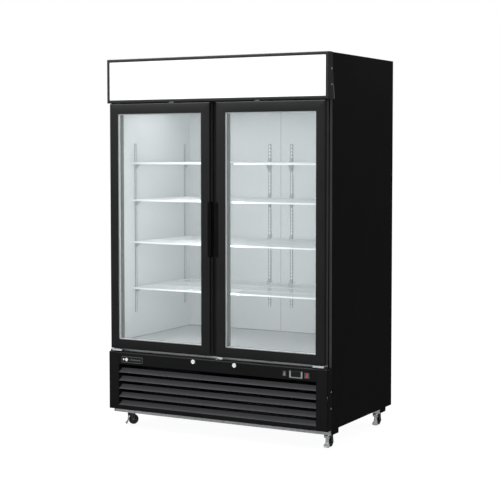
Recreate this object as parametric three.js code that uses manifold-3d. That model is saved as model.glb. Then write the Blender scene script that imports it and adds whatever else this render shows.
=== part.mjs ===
// Two-door upright glass merchandiser on castors: foamed cabinet, lit header box, two hinged glazed
// doors, eight wire shelves and a bottom machine compartment behind a louvred cover.
// Millimetres, +Z up, front faces -Y, origin on the floor under the middle of the bounding box.
import * as THREE from 'three';
import { mergeVertices } from 'three/addons/utils/BufferGeometryUtils.js';
import Module from 'manifold-3d';

const wasm = await Module();
wasm.setup();

// ---- driving dimensions ----
const WIDTH = 1380;
const DEPTH = 864;
const HEIGHT = 2090;
const FRONT = -DEPTH / 2;            // plane of the doors and the header
const BACK = DEPTH / 2;
const GAP = 0.3;                     // kept between touching pieces
const SKIN = 1.2;                    // outer sheet steel
const SHELL_HALF = WIDTH / 2 - 1.5;  // outer face of the side panels
const SHELL_IN = SHELL_HALF - SKIN - GAP;
const CARCASS_FRONT = -381;          // face that the door gaskets close on
const CARCASS_BOTTOM = 110;
const CARCASS_TOP = 2088.6;

const FRAME_BACK = -358;             // rear of the plastic front frame
const FRAME_BOTTOM = 400;
const FRAME_STEP = -379.5;           // front frame face behind the side panel flanges
const OPENING = { inner: 32, outer: 632, bottom: 497, top: 1815 };
const CAVITY = { half: 632, back: 369, floor: 497, ceiling: 2030 };
const LINER = 1;
const FOAM_BOTTOM = 437;
const COVER_CEILING = 1830;          // underside of the evaporator cover

const DOOR = { inner: 20, outer: 673, bottom: 458.5, top: 1841, depth: 40 };
const GLASS = { inner: 72, outer: 620, bottom: 513, top: 1784 };
const GLASS_REBATE = 10;
const GLASS_RECESS = 2;
const GLASS_UNIT = 22;
const SPACER = 15;                   // width of the bar between the panes, seen past the frame
const GLASS_PANE = 4;
const PIVOT = { x: 655, y: -412, pin: 4, bore: 4.3 };
const BEAD = { width: 7, depth: 20 }; // ridge round the sight line at the rear of each door
const GASKET = { outer: 650, inner: 22, bottom: 479, top: 1831, width: 13 };
const HANDLE = { bottom: 1000, top: 1300, tip: 12 };

const HEADER_BOTTOM = 1845;
const HEADER_BEZEL = 17;
const BASE_FRONT = FRONT + 2;
const BASE = { bottom: 111.5, top: 440, seam: 627, skin: 1.5, round: 9 };
const HINGE_LEG = 3;                 // thickness of the flange screwed to the front frame
const LOUVRE = { bottom: 136.5, top: 370, pitch: 46.6, count: 5, rise: 20, run: 37, half: 622 };
const HINGE_X = { near: 602, far: 665 };

const SHELF_TOPS = [794, 1059, 1300, 1512];
const SHELF = { inner: 8, outer: 625, front: -289, back: 352, rim: 7, wires: 9 };
const STANDARD = { bottom: 646, top: 1618, front: -237, rear: 305, width: 20, depth: 5 };

const WHEEL = { radius: 28.5, width: 22, bore: 4.3 };
const CASTOR = { x: 631, front: -294, back: 354, trail: 14, top: 84 };
const SWIVELLED = { front_left: -60 };  // degrees that a castor stands turned, seen from above
const DECK_TOP = 113;

// ---- materials ----
function finish(color, roughness, metalness) {
  return new THREE.MeshStandardMaterial({ color, roughness, metalness });
}
const BLACK_PAINT = finish(0x1a1a1c, 0.5, 0.2);
const BLACK_PLASTIC = finish(0x202022, 0.6, 0);
const WHITE_PAINT = finish(0xdfe4e4, 0.5, 0.1);
const WHITE_COAT = finish(0xf2f4f4, 0.4, 0);
const FOAM = finish(0xe6d9a8, 0.9, 0);
const GALVANISED = finish(0xb8bcbe, 0.4, 0.8);
const ZINC = finish(0xa5a8aa, 0.35, 0.85);
const CHROME = finish(0xd8dadc, 0.15, 1);
const RUBBER = finish(0x3a3a3c, 0.85, 0);
const LIT_WHITE = finish(0xffffff, 0.3, 0);
const CLEAR = finish(0xdde8e8, 0.05, 0);
const RED_PLASTIC = finish(0x8c1a18, 0.35, 0);
const COPPER = finish(0xa8643c, 0.45, 0.8);

// ---- solids ----
function solid(geometry) {
  geometry.deleteAttribute('normal');
  geometry.deleteAttribute('uv');
  const merged = mergeVertices(geometry, 1e-4);
  return new wasm.Manifold(new wasm.Mesh({
    numProp: 3,
    vertProperties: new Float32Array(merged.attributes.position.array),
    triVerts: new Uint32Array(merged.index.array),
  }));
}

function geometryOf(manifold) {
  const mesh = manifold.getMesh();
  const geometry = new THREE.BufferGeometry();
  geometry.setAttribute('position', new THREE.BufferAttribute(mesh.vertProperties, 3));
  geometry.setIndex(new THREE.BufferAttribute(mesh.triVerts, 1));
  geometry.computeVertexNormals();
  return geometry;
}

// A box between two limits on each axis; the limits come in any order.
function block([x0, x1], [y0, y1], [z0, z1]) {
  const size = [Math.abs(x1 - x0), Math.abs(y1 - y0), Math.abs(z1 - z0)];
  const geometry = new THREE.BoxGeometry(...size);
  geometry.translate((x0 + x1) / 2, (y0 + y1) / 2, (z0 + z1) / 2);
  return solid(geometry);
}

// A round bar of the given radius along one axis.
function bar(axis, radius, [from, to], centre, segments = 16) {
  const geometry = new THREE.CylinderGeometry(radius, radius, to - from, segments);
  if (axis === 'x') geometry.rotateZ(-Math.PI / 2);
  if (axis === 'z') geometry.rotateX(Math.PI / 2);
  const middle = (from + to) / 2;
  const at = { x: [middle, ...centre], y: [centre[0], middle, centre[1]], z: [...centre, middle] };
  geometry.translate(...at[axis]);
  return solid(geometry);
}

// A flat outline of [y, z] points, extruded along X.
function plateYZ(points, [x0, x1]) {
  const shape = new THREE.Shape(points.map(([y, z]) => new THREE.Vector2(y, z)));
  const geometry = new THREE.ExtrudeGeometry(shape, { depth: x1 - x0, bevelEnabled: false });
  const turn = new THREE.Matrix4().set(0, 0, 1, x0, 1, 0, 0, 0, 0, 1, 0, 0, 0, 0, 0, 1);
  geometry.applyMatrix4(turn);
  return solid(geometry);
}

// Points of a quarter round about a centre, from one angle to another, in degrees.
function arc([cy, cz], radius, from, to, steps = 5) {
  return Array.from({ length: steps + 1 }, (_, i) => {
    const angle = THREE.MathUtils.degToRad(from + (to - from) * i / steps);
    return [cy + radius * Math.cos(angle), cz + radius * Math.sin(angle)];
  });
}

function union(pieces) {
  return pieces.reduce((whole, piece) => whole.add(piece));
}

const group = new THREE.Group();

function part(name, manifold, material) {
  const mesh = new THREE.Mesh(geometryOf(manifold), material);
  mesh.name = name;
  group.add(mesh);
}

const SIDES = [['left', -1], ['right', 1]];

// The limits of a stretch given from the middle outwards, on one side of the cabinet.
function span(sign, near, far) {
  return sign < 0 ? [-far, -near] : [near, far];
}

// A rectangular ring in the front plane, on one side of the cabinet.
function ring(sign, outer, inner, depth) {
  const hole = block(span(sign, inner.near, inner.far), [depth[0] - 1, depth[1] + 1], inner.z);
  return block(span(sign, outer.near, outer.far), depth, outer.z).subtract(hole);
}

// ---- outer shell ----
function sidePanel(sign) {
  const foot = { front: [-380, -291, 84], back: [272, 349, 88] };
  const face = span(sign, SHELL_HALF - SKIN, SHELL_HALF);
  const sheet = block(face, [CARCASS_FRONT, BACK], [CARCASS_BOTTOM, CARCASS_TOP]);
  const feet = Object.values(foot).map(([y0, y1, low]) =>
    block(face, [y0, y1], [low, CARCASS_BOTTOM + 10]));
  const flange = block(span(sign, SHELL_HALF - 20, SHELL_HALF), [CARCASS_FRONT, CARCASS_FRONT + SKIN],
    [CARCASS_BOTTOM, CARCASS_TOP]);
  return union([sheet, flange, ...feet]);
}

function topPanel() {
  const top = CARCASS_TOP - 0.5;
  return block([-SHELL_IN, SHELL_IN], [FRAME_STEP, BACK - SKIN - GAP], [top - SKIN, top]);
}

// The rear sheet, with rows of breathing slots behind the machine compartment.
function backPanel() {
  const slots = { rows: 7, bottom: 160, pitch: 30, height: 10, half: 200, centres: [-330, 330] };
  let sheet = block([-SHELL_IN, SHELL_IN], [BACK - SKIN, BACK], [DECK_TOP + 1, CARCASS_TOP]);
  for (let row = 0; row < slots.rows; row++) {
    const low = slots.bottom + row * slots.pitch;
    for (const centre of slots.centres) {
      const x = [centre - slots.half, centre + slots.half];
      sheet = sheet.subtract(block(x, [BACK - 5, BACK + 5], [low, low + slots.height]));
    }
  }
  return sheet;
}

function insulation() {
  const outer = block([-SHELL_IN, SHELL_IN], [FRAME_BACK + GAP, BACK - SKIN - GAP],
    [FOAM_BOTTOM, CARCASS_TOP - 2]);
  const skin = LINER + GAP;
  const hollow = block([-CAVITY.half - skin, CAVITY.half + skin], [FRAME_BACK - 10, CAVITY.back + skin],
    [CAVITY.floor - skin, CAVITY.ceiling + skin]);
  return outer.subtract(hollow);
}

function innerLiner() {
  const outer = block([-CAVITY.half - LINER, CAVITY.half + LINER],
    [FRAME_BACK + GAP, CAVITY.back + LINER], [CAVITY.floor - LINER, CAVITY.ceiling + LINER]);
  const hollow = block([-CAVITY.half, CAVITY.half], [FRAME_BACK - 10, CAVITY.back],
    [CAVITY.floor, CAVITY.ceiling]);
  return outer.subtract(hollow);
}

// The plastic frame round the two door openings, with the mullion between them.
function frontFrame() {
  const rear = block([-SHELL_IN, SHELL_IN], [FRAME_STEP, FRAME_BACK], [FRAME_BOTTOM, CARCASS_TOP - 2.5]);
  const flangeIn = SHELL_HALF - 20 - GAP;
  const face = block([-flangeIn, flangeIn], [CARCASS_FRONT, FRAME_BACK], [FRAME_BOTTOM, CARCASS_TOP - 2.5]);
  let frame = rear.add(face);
  for (const [, sign] of SIDES) {
    frame = frame.subtract(block(span(sign, OPENING.inner, OPENING.outer), [-400, -340],
      [OPENING.bottom, OPENING.top]));
  }
  return frame;
}

// ---- cold air unit above the ceiling ----
const COLD_FAN = { x: 0, y: -60, bore: 112 };

function evaporatorCover() {
  const half = CAVITY.half - 0.5;
  const depth = [FRAME_BACK + 2, CAVITY.back - 0.5];
  const wall = 1;
  const height = 30;
  const outer = block([-half, half], depth, [COVER_CEILING, COVER_CEILING + height]);
  const inner = block([-half + wall, half - wall], [depth[0] + wall, depth[1] - wall],
    [COVER_CEILING + wall, COVER_CEILING + height + 1]);
  const through = [COVER_CEILING - 5, COVER_CEILING + 5];
  return outer.subtract(inner).subtract(bar('z', COLD_FAN.bore, through, [COLD_FAN.x, COLD_FAN.y], 40));
}

// A finned block: a solid core with slots cut from its front face.
function finnedCoil(x, y, z, pitch) {
  const quarter = pitch / 4;
  let coil = block(x, y, z);
  for (let at = x[0] + pitch; at < x[1] - pitch / 2; at += pitch) {
    const slot = block([at - quarter, at + quarter], [y[0] - 1, y[0] + 10], [z[0] + 8, z[1] - 8]);
    coil = coil.subtract(slot);
  }
  return coil;
}

// A hub and swept blades, turning about the given axis.
function fan(axis, centre, [from, to], hubRadius, tipRadius, blades) {
  let rotor = bar('y', hubRadius, [from, to], [0, 0]);
  const middle = (from + to) / 2;
  for (let i = 0; i < blades; i++) {
    const blade = new THREE.BoxGeometry(tipRadius - hubRadius + 8, 2, hubRadius * 1.7);
    blade.rotateX(THREE.MathUtils.degToRad(28));
    blade.translate((tipRadius + hubRadius - 8) / 2, middle, 0);
    blade.rotateY(2 * Math.PI * i / blades);
    rotor = rotor.add(solid(blade));
  }
  const rim = tipRadius - 0.01;
  rotor = rotor.intersect(bar('y', rim, [from - 40, to + 40], [0, 0], 40));
  if (axis === 'z') return rotor.rotate([90, 0, 0]).translate([centre[0], centre[1], centre[2]]);
  return rotor.translate(centre);
}

// ---- lit header ----
function headerBox() {
  const half = WIDTH / 2;
  const rear = CARCASS_FRONT - GAP;
  const body = block([-half, half], [FRONT, rear], [HEADER_BOTTOM, HEIGHT]);
  const inside = block([-half + 2.5, half - 2.5], [FRONT + 2.5, rear - SKIN],
    [HEADER_BOTTOM + 2, HEIGHT - 2]);
  const lit = block([-half + HEADER_BEZEL, half - HEADER_BEZEL], [FRONT - 1, FRONT + 5],
    [HEADER_BOTTOM + HEADER_BEZEL, HEIGHT - HEADER_BEZEL]);
  const capOutline = [[FRONT + 2, HEADER_BOTTOM], [-358, HEADER_BOTTOM], [-359, 1853], [-380, 2050],
    [-380, HEIGHT], [FRONT + 2, HEIGHT]];
  const caps = SIDES.map(([, sign]) => plateYZ(capOutline, span(sign, half - SKIN, half)));
  return union([body.subtract(inside).subtract(lit), ...caps]);
}

function headerPanel() {
  const half = WIDTH / 2 - 10;
  return block([-half, half], [FRONT + 2.8, FRONT + 5.8], [HEADER_BOTTOM + 9, HEIGHT - 9]);
}

// ---- base cover and chassis ----
// The outline of the cover in side view: flat front, rounded top edge, open at the back.
function coverProfile(inset) {
  const front = BASE_FRONT + inset;
  const top = BASE.top - inset;
  const round = BASE.round - inset;
  const rear = CARCASS_FRONT - GAP + (inset ? 10 : 0);
  return [[front, BASE.bottom + inset], [rear, BASE.bottom + inset], [rear, top],
    ...arc([front + round, top - round], round, 90, 180)];
}

function hingeNotches() {
  const front = CARCASS_FRONT - GAP - HINGE_LEG - 0.5;
  return union(SIDES.map(([, sign]) =>
    block(span(sign, HINGE_X.near - 0.5, HINGE_X.far + 0.5), [front, -300], [BASE.top - 5, 470])));
}

function basePost(sign) {
  const inner = BASE.seam + 0.2;
  const outer = WIDTH / 2;
  const shell = plateYZ(coverProfile(0), span(sign, inner, outer));
  const hollow = plateYZ(coverProfile(BASE.skin), span(sign, inner - 1, outer - BASE.skin));
  return shell.subtract(hollow).subtract(hingeNotches());
}

const LOCK = { x: 130, z: 419, radius: 9, bore: 10 };
const CONTROLLER = { x: [465, 543], z: [381, 418], margin: 3, bezel: 5 };
const SWITCHES = [
  { name: 'light_switch', x: [423, 448], z: [385, 414], material: BLACK_PLASTIC },
  { name: 'power_switch', x: [555, 581], z: [384, 412], material: RED_PLASTIC },
];
const ROCKER = { pivot: 10, height: 24, tilt: 6 };

// The middle cover: control band above, five louvre blades, and a bottom band.
function baseGrille() {
  const half = BASE.seam - 0.2;
  const whole = plateYZ(coverProfile(0), [-half, half]);
  const hollow = plateYZ(coverProfile(BASE.skin), [-half - 1, half + 1]);
  const mouth = block([-LOUVRE.half, LOUVRE.half], [FRONT - 1, FRONT + 6], [LOUVRE.bottom, LOUVRE.top]);
  let cover = whole.subtract(hollow).subtract(mouth);
  const cheekDepth = BASE_FRONT + LOUVRE.run + 2;
  for (const [, sign] of SIDES) {
    cover = cover.add(block(span(sign, LOUVRE.half, half), [BASE_FRONT, cheekDepth],
      [LOUVRE.bottom - 10, LOUVRE.top + 10]));
  }
  for (let i = 0; i < LOUVRE.count; i++) {
    const low = LOUVRE.bottom + i * LOUVRE.pitch;
    const high = low + LOUVRE.rise;
    const rear = BASE_FRONT + LOUVRE.run;
    const blade = [[BASE_FRONT, low - 1], [BASE_FRONT + 2, low - 1], [rear, high], [rear, high + BASE.skin],
      [BASE_FRONT, low + 1]];
    cover = cover.add(plateYZ(blade, [-LOUVRE.half - 1, LOUVRE.half + 1]));
  }
  const through = [FRONT - 1, FRONT + 10];
  for (const [, sign] of SIDES) {
    cover = cover.subtract(bar('y', LOCK.bore, through, [sign * LOCK.x, LOCK.z], 24));
  }
  const inset = CONTROLLER.margin - 0.4;
  const window = {
    x: [CONTROLLER.x[0] + inset, CONTROLLER.x[1] - inset],
    z: [CONTROLLER.z[0] + inset, CONTROLLER.z[1] - inset],
  };
  for (const { x, z } of [...SWITCHES, window]) {
    cover = cover.subtract(block(x, through, z));
  }
  return cover.subtract(hingeNotches());
}

function lock(sign) {
  const centre = [sign * LOCK.x, LOCK.z];
  const face = bar('y', 12, [FRONT, BASE_FRONT - GAP], centre, 24);
  const barrel = bar('y', LOCK.radius, [BASE_FRONT - GAP - 0.5, FRONT + 30], centre, 24);
  const keyway = block([centre[0] - 1, centre[0] + 1], [FRONT - 1, FRONT + 6], [LOCK.z - 5, LOCK.z + 5]);
  const tongue = block([centre[0] - 6, centre[0] + 6], [FRONT + 30, FRONT + 34], [LOCK.z - 9, LOCK.z + 18]);
  return union([face, barrel, tongue]).subtract(keyway);
}

function controller() {
  const { x, z, margin, bezel } = CONTROLLER;
  const inset = (by, depth) => block([x[0] + by, x[1] - by], depth, [z[0] + by, z[1] - by]);
  const rim = inset(0, [FRONT + 0.2, BASE_FRONT - GAP]);
  const body = inset(margin, [BASE_FRONT - GAP - 0.5, FRONT + 40]);
  const screen = inset(bezel, [FRONT - 1, FRONT + 1.2]);
  return rim.add(body).subtract(screen);
}

// A rocker in its "on" tilt, turned about a pivot behind the cover's face.
function rocker({ x, z }) {
  const half = ROCKER.height / 2;
  const outline = [[-10, -half], [-8.3, 0], [-10, half], [6, half], [6, -half]];
  const [pivotY, pivotZ] = [FRONT + ROCKER.pivot + 1.2, (z[0] + z[1]) / 2];
  return plateYZ(outline, [x[0] + 0.6, x[1] - 0.6])
    .rotate([-ROCKER.tilt, 0, 0])
    .translate([0, pivotY, pivotZ]);
}

// Two boxed cross members, stepped in at their ends behind the side panels' feet, and the machine deck,
// with the castor plates under them.
function baseFrame() {
  const half = 684;
  const stepped = 646;
  const members = [[-379.4, -291, -232], [272, 349, 420]].map(([y0, step, y1]) => {
    const tube = block([-half, half], [y0, step], [CASTOR.top, DECK_TOP])
      .add(block([-stepped, stepped], [step - 1, y1], [CASTOR.top, DECK_TOP]));
    return tube.subtract(block([-half - 1, half + 1], [y0 + 3, y1 - 3], [CASTOR.top + 3, DECK_TOP - 3]));
  });
  const deck = block([-half, half], [-240, 280], [DECK_TOP - 3, DECK_TOP]);
  const plates = [];
  for (const [, sign] of SIDES) {
    for (const y of [CASTOR.front, CASTOR.back]) {
      const x = sign * CASTOR.x;
      plates.push(block([x - 38, x + 38], [y - 38, y + 38], [CASTOR.top - 3.5, CASTOR.top + 1]));
    }
  }
  return union([...members, deck, ...plates]);
}

// ---- condensing unit on the deck ----
const COMPRESSOR = { x: 300, y: 120, radius: 82, bottom: DECK_TOP + GAP };

function compressor() {
  const { x, y, radius, bottom } = COMPRESSOR;
  const base = bottom + 12;
  const outline = [[0, base], [radius * 0.8, base], [radius, base + 18], [radius, base + 110],
    [radius * 0.92, base + 150], [radius * 0.6, base + 178], [0, base + 186]];
  const can = new THREE.LatheGeometry(outline.map(([r, z]) => new THREE.Vector2(r, z)), 32);
  can.rotateX(Math.PI / 2);
  can.translate(x, y, 0);
  const rails = [y - 55, y + 55].map((centre) =>
    block([x - 110, x + 110], [centre - 15, centre + 15], [bottom, base + 4]));
  return union([solid(can), ...rails]);
}

const HOT_FAN = { x: -330, y: -225, z: 265, tip: 118 };

function condenserCoil() {
  return finnedCoil([-520, -140], [-345, -290], [DECK_TOP + GAP, 392], 19);
}

// ---- doors ----
function doorFrame(sign) {
  const depth = [FRONT, FRONT + DOOR.depth];
  const outer = { near: DOOR.inner, far: DOOR.outer, z: [DOOR.bottom, DOOR.top] };
  const sight = { near: GLASS.inner, far: GLASS.outer, z: [GLASS.bottom, GLASS.top] };
  const groove = GLASS_REBATE + GAP;
  const glassFront = FRONT + GLASS_RECESS;
  const pocket = block(span(sign, GLASS.inner - groove, GLASS.outer + groove),
    [glassFront - GAP, glassFront + GLASS_UNIT + GAP], [GLASS.bottom - groove, GLASS.top + groove]);
  const bores = [[DOOR.bottom - 1, DOOR.bottom + 16], [DOOR.top - 16, DOOR.top + 1]].map((z) =>
    bar('z', PIVOT.bore, z, [sign * PIVOT.x, PIVOT.y]));
  const grip = block(span(sign, DOOR.inner - 1, DOOR.inner + 14), [FRONT - 1, FRONT + 30],
    [HANDLE.bottom - GAP, HANDLE.top + GAP]);
  const bead = { near: GLASS.inner - BEAD.width, far: GLASS.outer + BEAD.width,
    z: [GLASS.bottom - BEAD.width, GLASS.top + BEAD.width] };
  const rear = ring(sign, bead, sight, [depth[1] - 4, depth[1] + BEAD.depth]);
  return ring(sign, outer, sight, depth).add(rear).subtract(pocket).subtract(union([...bores, grip]));
}

// The sealed unit: two panes joined by a spacer bar, which has a small breather hole.
function doorGlass(sign) {
  const near = GLASS.inner - GLASS_REBATE;
  const far = GLASS.outer + GLASS_REBATE;
  const z = [GLASS.bottom - GLASS_REBATE, GLASS.top + GLASS_REBATE];
  const front = FRONT + GLASS_RECESS;
  const unit = block(span(sign, near, far), [front, front + GLASS_UNIT], z);
  const space = block(span(sign, near + SPACER, far - SPACER),
    [front + GLASS_PANE, front + GLASS_UNIT - GLASS_PANE], [z[0] + SPACER, z[1] - SPACER]);
  const middle = sign * (near + far) / 2;
  const breather = block([middle - 2, middle + 2], [front + 9, front + 13], [z[1] - 20, z[1] + 5]);
  return unit.subtract(space).subtract(breather);
}

function doorGasket(sign) {
  const outer = { near: GASKET.inner, far: GASKET.outer, z: [GASKET.bottom, GASKET.top] };
  const inner = { near: GASKET.inner + GASKET.width, far: GASKET.outer - GASKET.width,
    z: [GASKET.bottom + GASKET.width, GASKET.top - GASKET.width] };
  return ring(sign, outer, inner, [FRONT + DOOR.depth + GAP, CARCASS_FRONT - GAP]);
}

// A pull let into the inner stile, with a lip that fingers hook behind.
function doorHandle(sign) {
  const z = [HANDLE.bottom, HANDLE.top];
  const body = block(span(sign, DOOR.inner, DOOR.inner + 13.7), [FRONT + 0.4, FRONT + 29.7], z);
  const scoop = block(span(sign, DOOR.inner - 1, DOOR.inner + 9), [FRONT + 9, FRONT + 24],
    [z[0] + 6, z[1] - 6]);
  const lip = block(span(sign, HANDLE.tip, DOOR.inner + 2), [FRONT + 2, FRONT + 7], z);
  return union([body.subtract(scoop), lip]);
}

// A hinge bracket screwed to the front frame, with the pin that the door turns on.
function hinge(sign, plateZ, legZ, pinZ, lipZ) {
  const x = span(sign, HINGE_X.near, HINGE_X.far);
  const rear = CARCASS_FRONT - GAP;
  const pieces = [
    block(x, [FRONT + 2.5, rear], plateZ),
    block(x, [rear - HINGE_LEG, rear], legZ),
    bar('z', PIVOT.pin, pinZ, [sign * PIVOT.x, PIVOT.y]),
  ];
  if (lipZ) pieces.push(block(x, [FRONT + 0.5, FRONT + 3.5], lipZ));
  return union(pieces);
}

// ---- shelves and their standards ----
function shelf(sign, top) {
  const { inner, outer, front, back, rim, wires } = SHELF;
  const x = span(sign, inner, outer);
  const z = [top - rim, top];
  const sideZ = [top - rim + 1, top - 1];
  const bars = [
    block(x, [front, front + rim], [top - 11, top]),
    block(x, [back - rim, back], z),
    block([x[0] + 0.5, x[0] + rim], [front + 2, back - 2], sideZ),
    block([x[1] - rim, x[1] - 0.5], [front + 2, back - 2], sideZ),
    block([x[0] + 2, x[1] - 2], [-3, 3], [top - rim - 5, top - rim + 3]),
  ];
  const pitch = (outer - inner - rim) / (wires + 1);
  for (let i = 1; i <= wires; i++) {
    const at = x[0] + rim / 2 + i * pitch;
    bars.push(block([at - 2, at + 2], [front + 3, back - 3], [top - rim + 1.5, top - 2]));
  }
  return union(bars);
}

function standard(sign, y) {
  const wall = CAVITY.half - GAP;
  const half = STANDARD.width / 2;
  const channel = block(span(sign, wall - STANDARD.depth, wall), [y - half, y + half],
    [STANDARD.bottom, STANDARD.top]);
  const groove = block(span(sign, wall - STANDARD.depth - 1, wall - STANDARD.depth + 2.5), [y - 5, y + 5],
    [STANDARD.bottom - 1, STANDARD.top + 1]);
  return channel.subtract(groove);
}

// ---- castors ----
const AXLE_Z = WHEEL.radius;
const BRAKE = { pivotY: -12, pivotZ: 56, pin: 3, bore: 3.3, knuckle: 7 };

function castorFork(x, y) {
  const axleY = y + CASTOR.trail;
  const head = bar('z', 24, [68, CASTOR.top - 3.5 - GAP], [x, y], 24);
  const cheek = [[y - 20, 70], [y + 20, 70], [axleY + 9, AXLE_Z], [axleY + 5, AXLE_Z - 7],
    [axleY - 5, AXLE_Z - 7], [axleY - 9, AXLE_Z], [y + 2, 50], [y + BRAKE.pivotY - 6, 50]];
  const cheeks = SIDES.map(([, sign]) => {
    const from = sign < 0 ? x - 17 : x + 14;
    return plateYZ(cheek, [from, from + 3]);
  });
  const crown = block([x - 17, x + 17], [y - 18, y + 18], [66.5, 70]);
  const axle = bar('x', 4, [x - 20, x + 20], [axleY, AXLE_Z]);
  const brakePin = bar('x', BRAKE.pin, [x - 16, x + 16], [y + BRAKE.pivotY, BRAKE.pivotZ]);
  return union([head, ...cheeks, crown, axle, brakePin]);
}

// A tyre and hub in one, turned about X, with a bore for the axle.
function castorWheel(x, y) {
  const { radius, width, bore } = WHEEL;
  const half = width / 2;
  const outline = [[bore, -half], [radius - 4, -half], [radius - 1, -half + 2.5], [radius, -half + 7],
    [radius, half - 7], [radius - 1, half - 2.5], [radius - 4, half], [bore, half], [bore, -half]];
  const tyre = new THREE.LatheGeometry(outline.map(([r, a]) => new THREE.Vector2(r, a)), 32);
  tyre.rotateZ(-Math.PI / 2);
  tyre.translate(x, y + CASTOR.trail, AXLE_Z);
  return solid(tyre);
}

// The toe lever, pressed down: its knuckle turns on the fork's front pin.
function castorBrake(x, y) {
  const pivot = [y + BRAKE.pivotY, BRAKE.pivotZ];
  const knuckle = bar('x', BRAKE.knuckle, [x - 13.4, x + 13.4], pivot);
  const arm = plateYZ([[pivot[0] - 6, 54], [pivot[0] - 2, 50], [y - 19, 20], [y - 27, 8], [y - 31, 9],
    [y - 23, 22]], [x - 9, x + 9]);
  const pad = plateYZ([[y - 18, 16], [y - 30, 3.5], [y - 33, 5.5], [y - 21, 19]], [x - 16, x + 16]);
  return union([knuckle, arm, pad]).subtract(bar('x', BRAKE.bore, [x - 20, x + 20], pivot));
}

// ---- assembly ----
for (const [side, sign] of SIDES) part(`${side}_side_panel`, sidePanel(sign), BLACK_PAINT);
part('top_panel', topPanel(), GALVANISED);
part('back_panel', backPanel(), GALVANISED);
part('insulation', insulation(), FOAM);
part('inner_liner', innerLiner(), WHITE_PAINT);
part('front_frame', frontFrame(), BLACK_PLASTIC);
part('evaporator_cover', evaporatorCover(), WHITE_PAINT);
part('evaporator_coil', finnedCoil([-460, 460], [130, 340], [1862, 2000], 46), ZINC);
part('evaporator_fan', fan('z', [COLD_FAN.x, COLD_FAN.y, 1865], [-14, 14], 30, 104, 5), BLACK_PLASTIC);
part('header_box', headerBox(), BLACK_PAINT);
part('header_panel', headerPanel(), LIT_WHITE);
part('base_frame', baseFrame(), GALVANISED);
part('base_grille', baseGrille(), BLACK_PAINT);
part('controller', controller(), BLACK_PLASTIC);
for (const rockerSwitch of SWITCHES) part(rockerSwitch.name, rocker(rockerSwitch), rockerSwitch.material);
part('compressor', compressor(), BLACK_PAINT);
part('condenser_coil', condenserCoil(), COPPER);
part('condenser_fan', fan('y', [HOT_FAN.x, HOT_FAN.y, HOT_FAN.z], [-16, 16], 32, HOT_FAN.tip, 5),
  BLACK_PLASTIC);

for (const [side, sign] of SIDES) {
  part(`${side}_base_post`, basePost(sign), BLACK_PAINT);
  part(`${side}_lock`, lock(sign), CHROME);
  part(`${side}_door_frame`, doorFrame(sign), BLACK_PAINT);
  part(`${side}_door_glass`, doorGlass(sign), CLEAR);
  part(`${side}_door_gasket`, doorGasket(sign), RUBBER);
  part(`${side}_door_handle`, doorHandle(sign), BLACK_PLASTIC);
  part(`${side}_lower_hinge`, hinge(sign, [451.5, 455.5], [402, 455.5], [453, 472], [445.5, 455.5]), ZINC);
  part(`${side}_upper_hinge`, hinge(sign, [1841.4, 1844.6], [1833, 1844.6], [1827, 1843]), ZINC);
  SHELF_TOPS.forEach((top, i) => part(`${side}_shelf_${i + 1}`, shelf(sign, top), WHITE_COAT));
  part(`${side}_front_standard`, standard(sign, STANDARD.front), ZINC);
  part(`${side}_rear_standard`, standard(sign, STANDARD.rear), ZINC);
  for (const [place, y] of [['front', CASTOR.front], ['rear', CASTOR.back]]) {
    const x = sign * CASTOR.x;
    const castor = `${place}_${side}`;
    const turned = (body) => body.translate([-x, -y, 0]).rotate([0, 0, SWIVELLED[castor] || 0])
      .translate([x, y, 0]);
    part(`${castor}_fork`, turned(castorFork(x, y)), ZINC);
    part(`${castor}_wheel`, turned(castorWheel(x, y)), BLACK_PLASTIC);
    part(`${castor}_brake`, turned(castorBrake(x, y)), ZINC);
  }
}

export default group;
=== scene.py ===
import math

import bmesh
import bpy
from mathutils import Matrix, Vector

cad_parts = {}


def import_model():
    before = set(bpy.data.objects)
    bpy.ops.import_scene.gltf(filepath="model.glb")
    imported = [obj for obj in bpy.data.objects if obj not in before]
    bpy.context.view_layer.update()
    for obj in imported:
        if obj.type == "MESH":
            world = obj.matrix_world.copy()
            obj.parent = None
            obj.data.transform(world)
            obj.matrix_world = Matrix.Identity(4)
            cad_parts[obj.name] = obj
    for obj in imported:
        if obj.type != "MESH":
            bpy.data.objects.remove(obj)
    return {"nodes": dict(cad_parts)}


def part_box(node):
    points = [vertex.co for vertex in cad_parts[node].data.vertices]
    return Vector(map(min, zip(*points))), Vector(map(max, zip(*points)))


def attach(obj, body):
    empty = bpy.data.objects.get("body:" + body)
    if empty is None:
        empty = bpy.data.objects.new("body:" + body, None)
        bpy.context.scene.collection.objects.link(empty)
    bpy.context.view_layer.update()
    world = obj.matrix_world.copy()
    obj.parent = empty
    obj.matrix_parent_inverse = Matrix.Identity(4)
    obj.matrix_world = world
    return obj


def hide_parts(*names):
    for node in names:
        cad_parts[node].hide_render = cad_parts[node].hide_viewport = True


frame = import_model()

# Shapes are written in millimetres in the CAD frame: +X to the right, +Y to the back, +Z up.
MM = 0.001
SHARP = math.radians(32)
SIDES = (("left", -1), ("right", 1))
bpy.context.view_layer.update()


def cad(node):
    """The CAD node's span on each axis, in millimetres."""
    low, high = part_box(node)
    return [(round(a / MM, 2), round(b / MM, 2)) for a, b in zip(low, high)]


# ---- shapes ----
def place(axis, a, b, at):
    """The point (a, b) in the plane across an axis, at that height along it."""
    return {"x": (at, a, b), "y": (a, at, b), "z": (a, b, at)}[axis]


def arc(centre, radius, start, end, steps=6):
    """Points along an arc, in degrees."""
    made = []
    for i in range(steps + 1):
        angle = math.radians(start + (end - start) * i / steps)
        made.append((centre[0] + radius * math.cos(angle), centre[1] + radius * math.sin(angle)))
    return made


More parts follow.
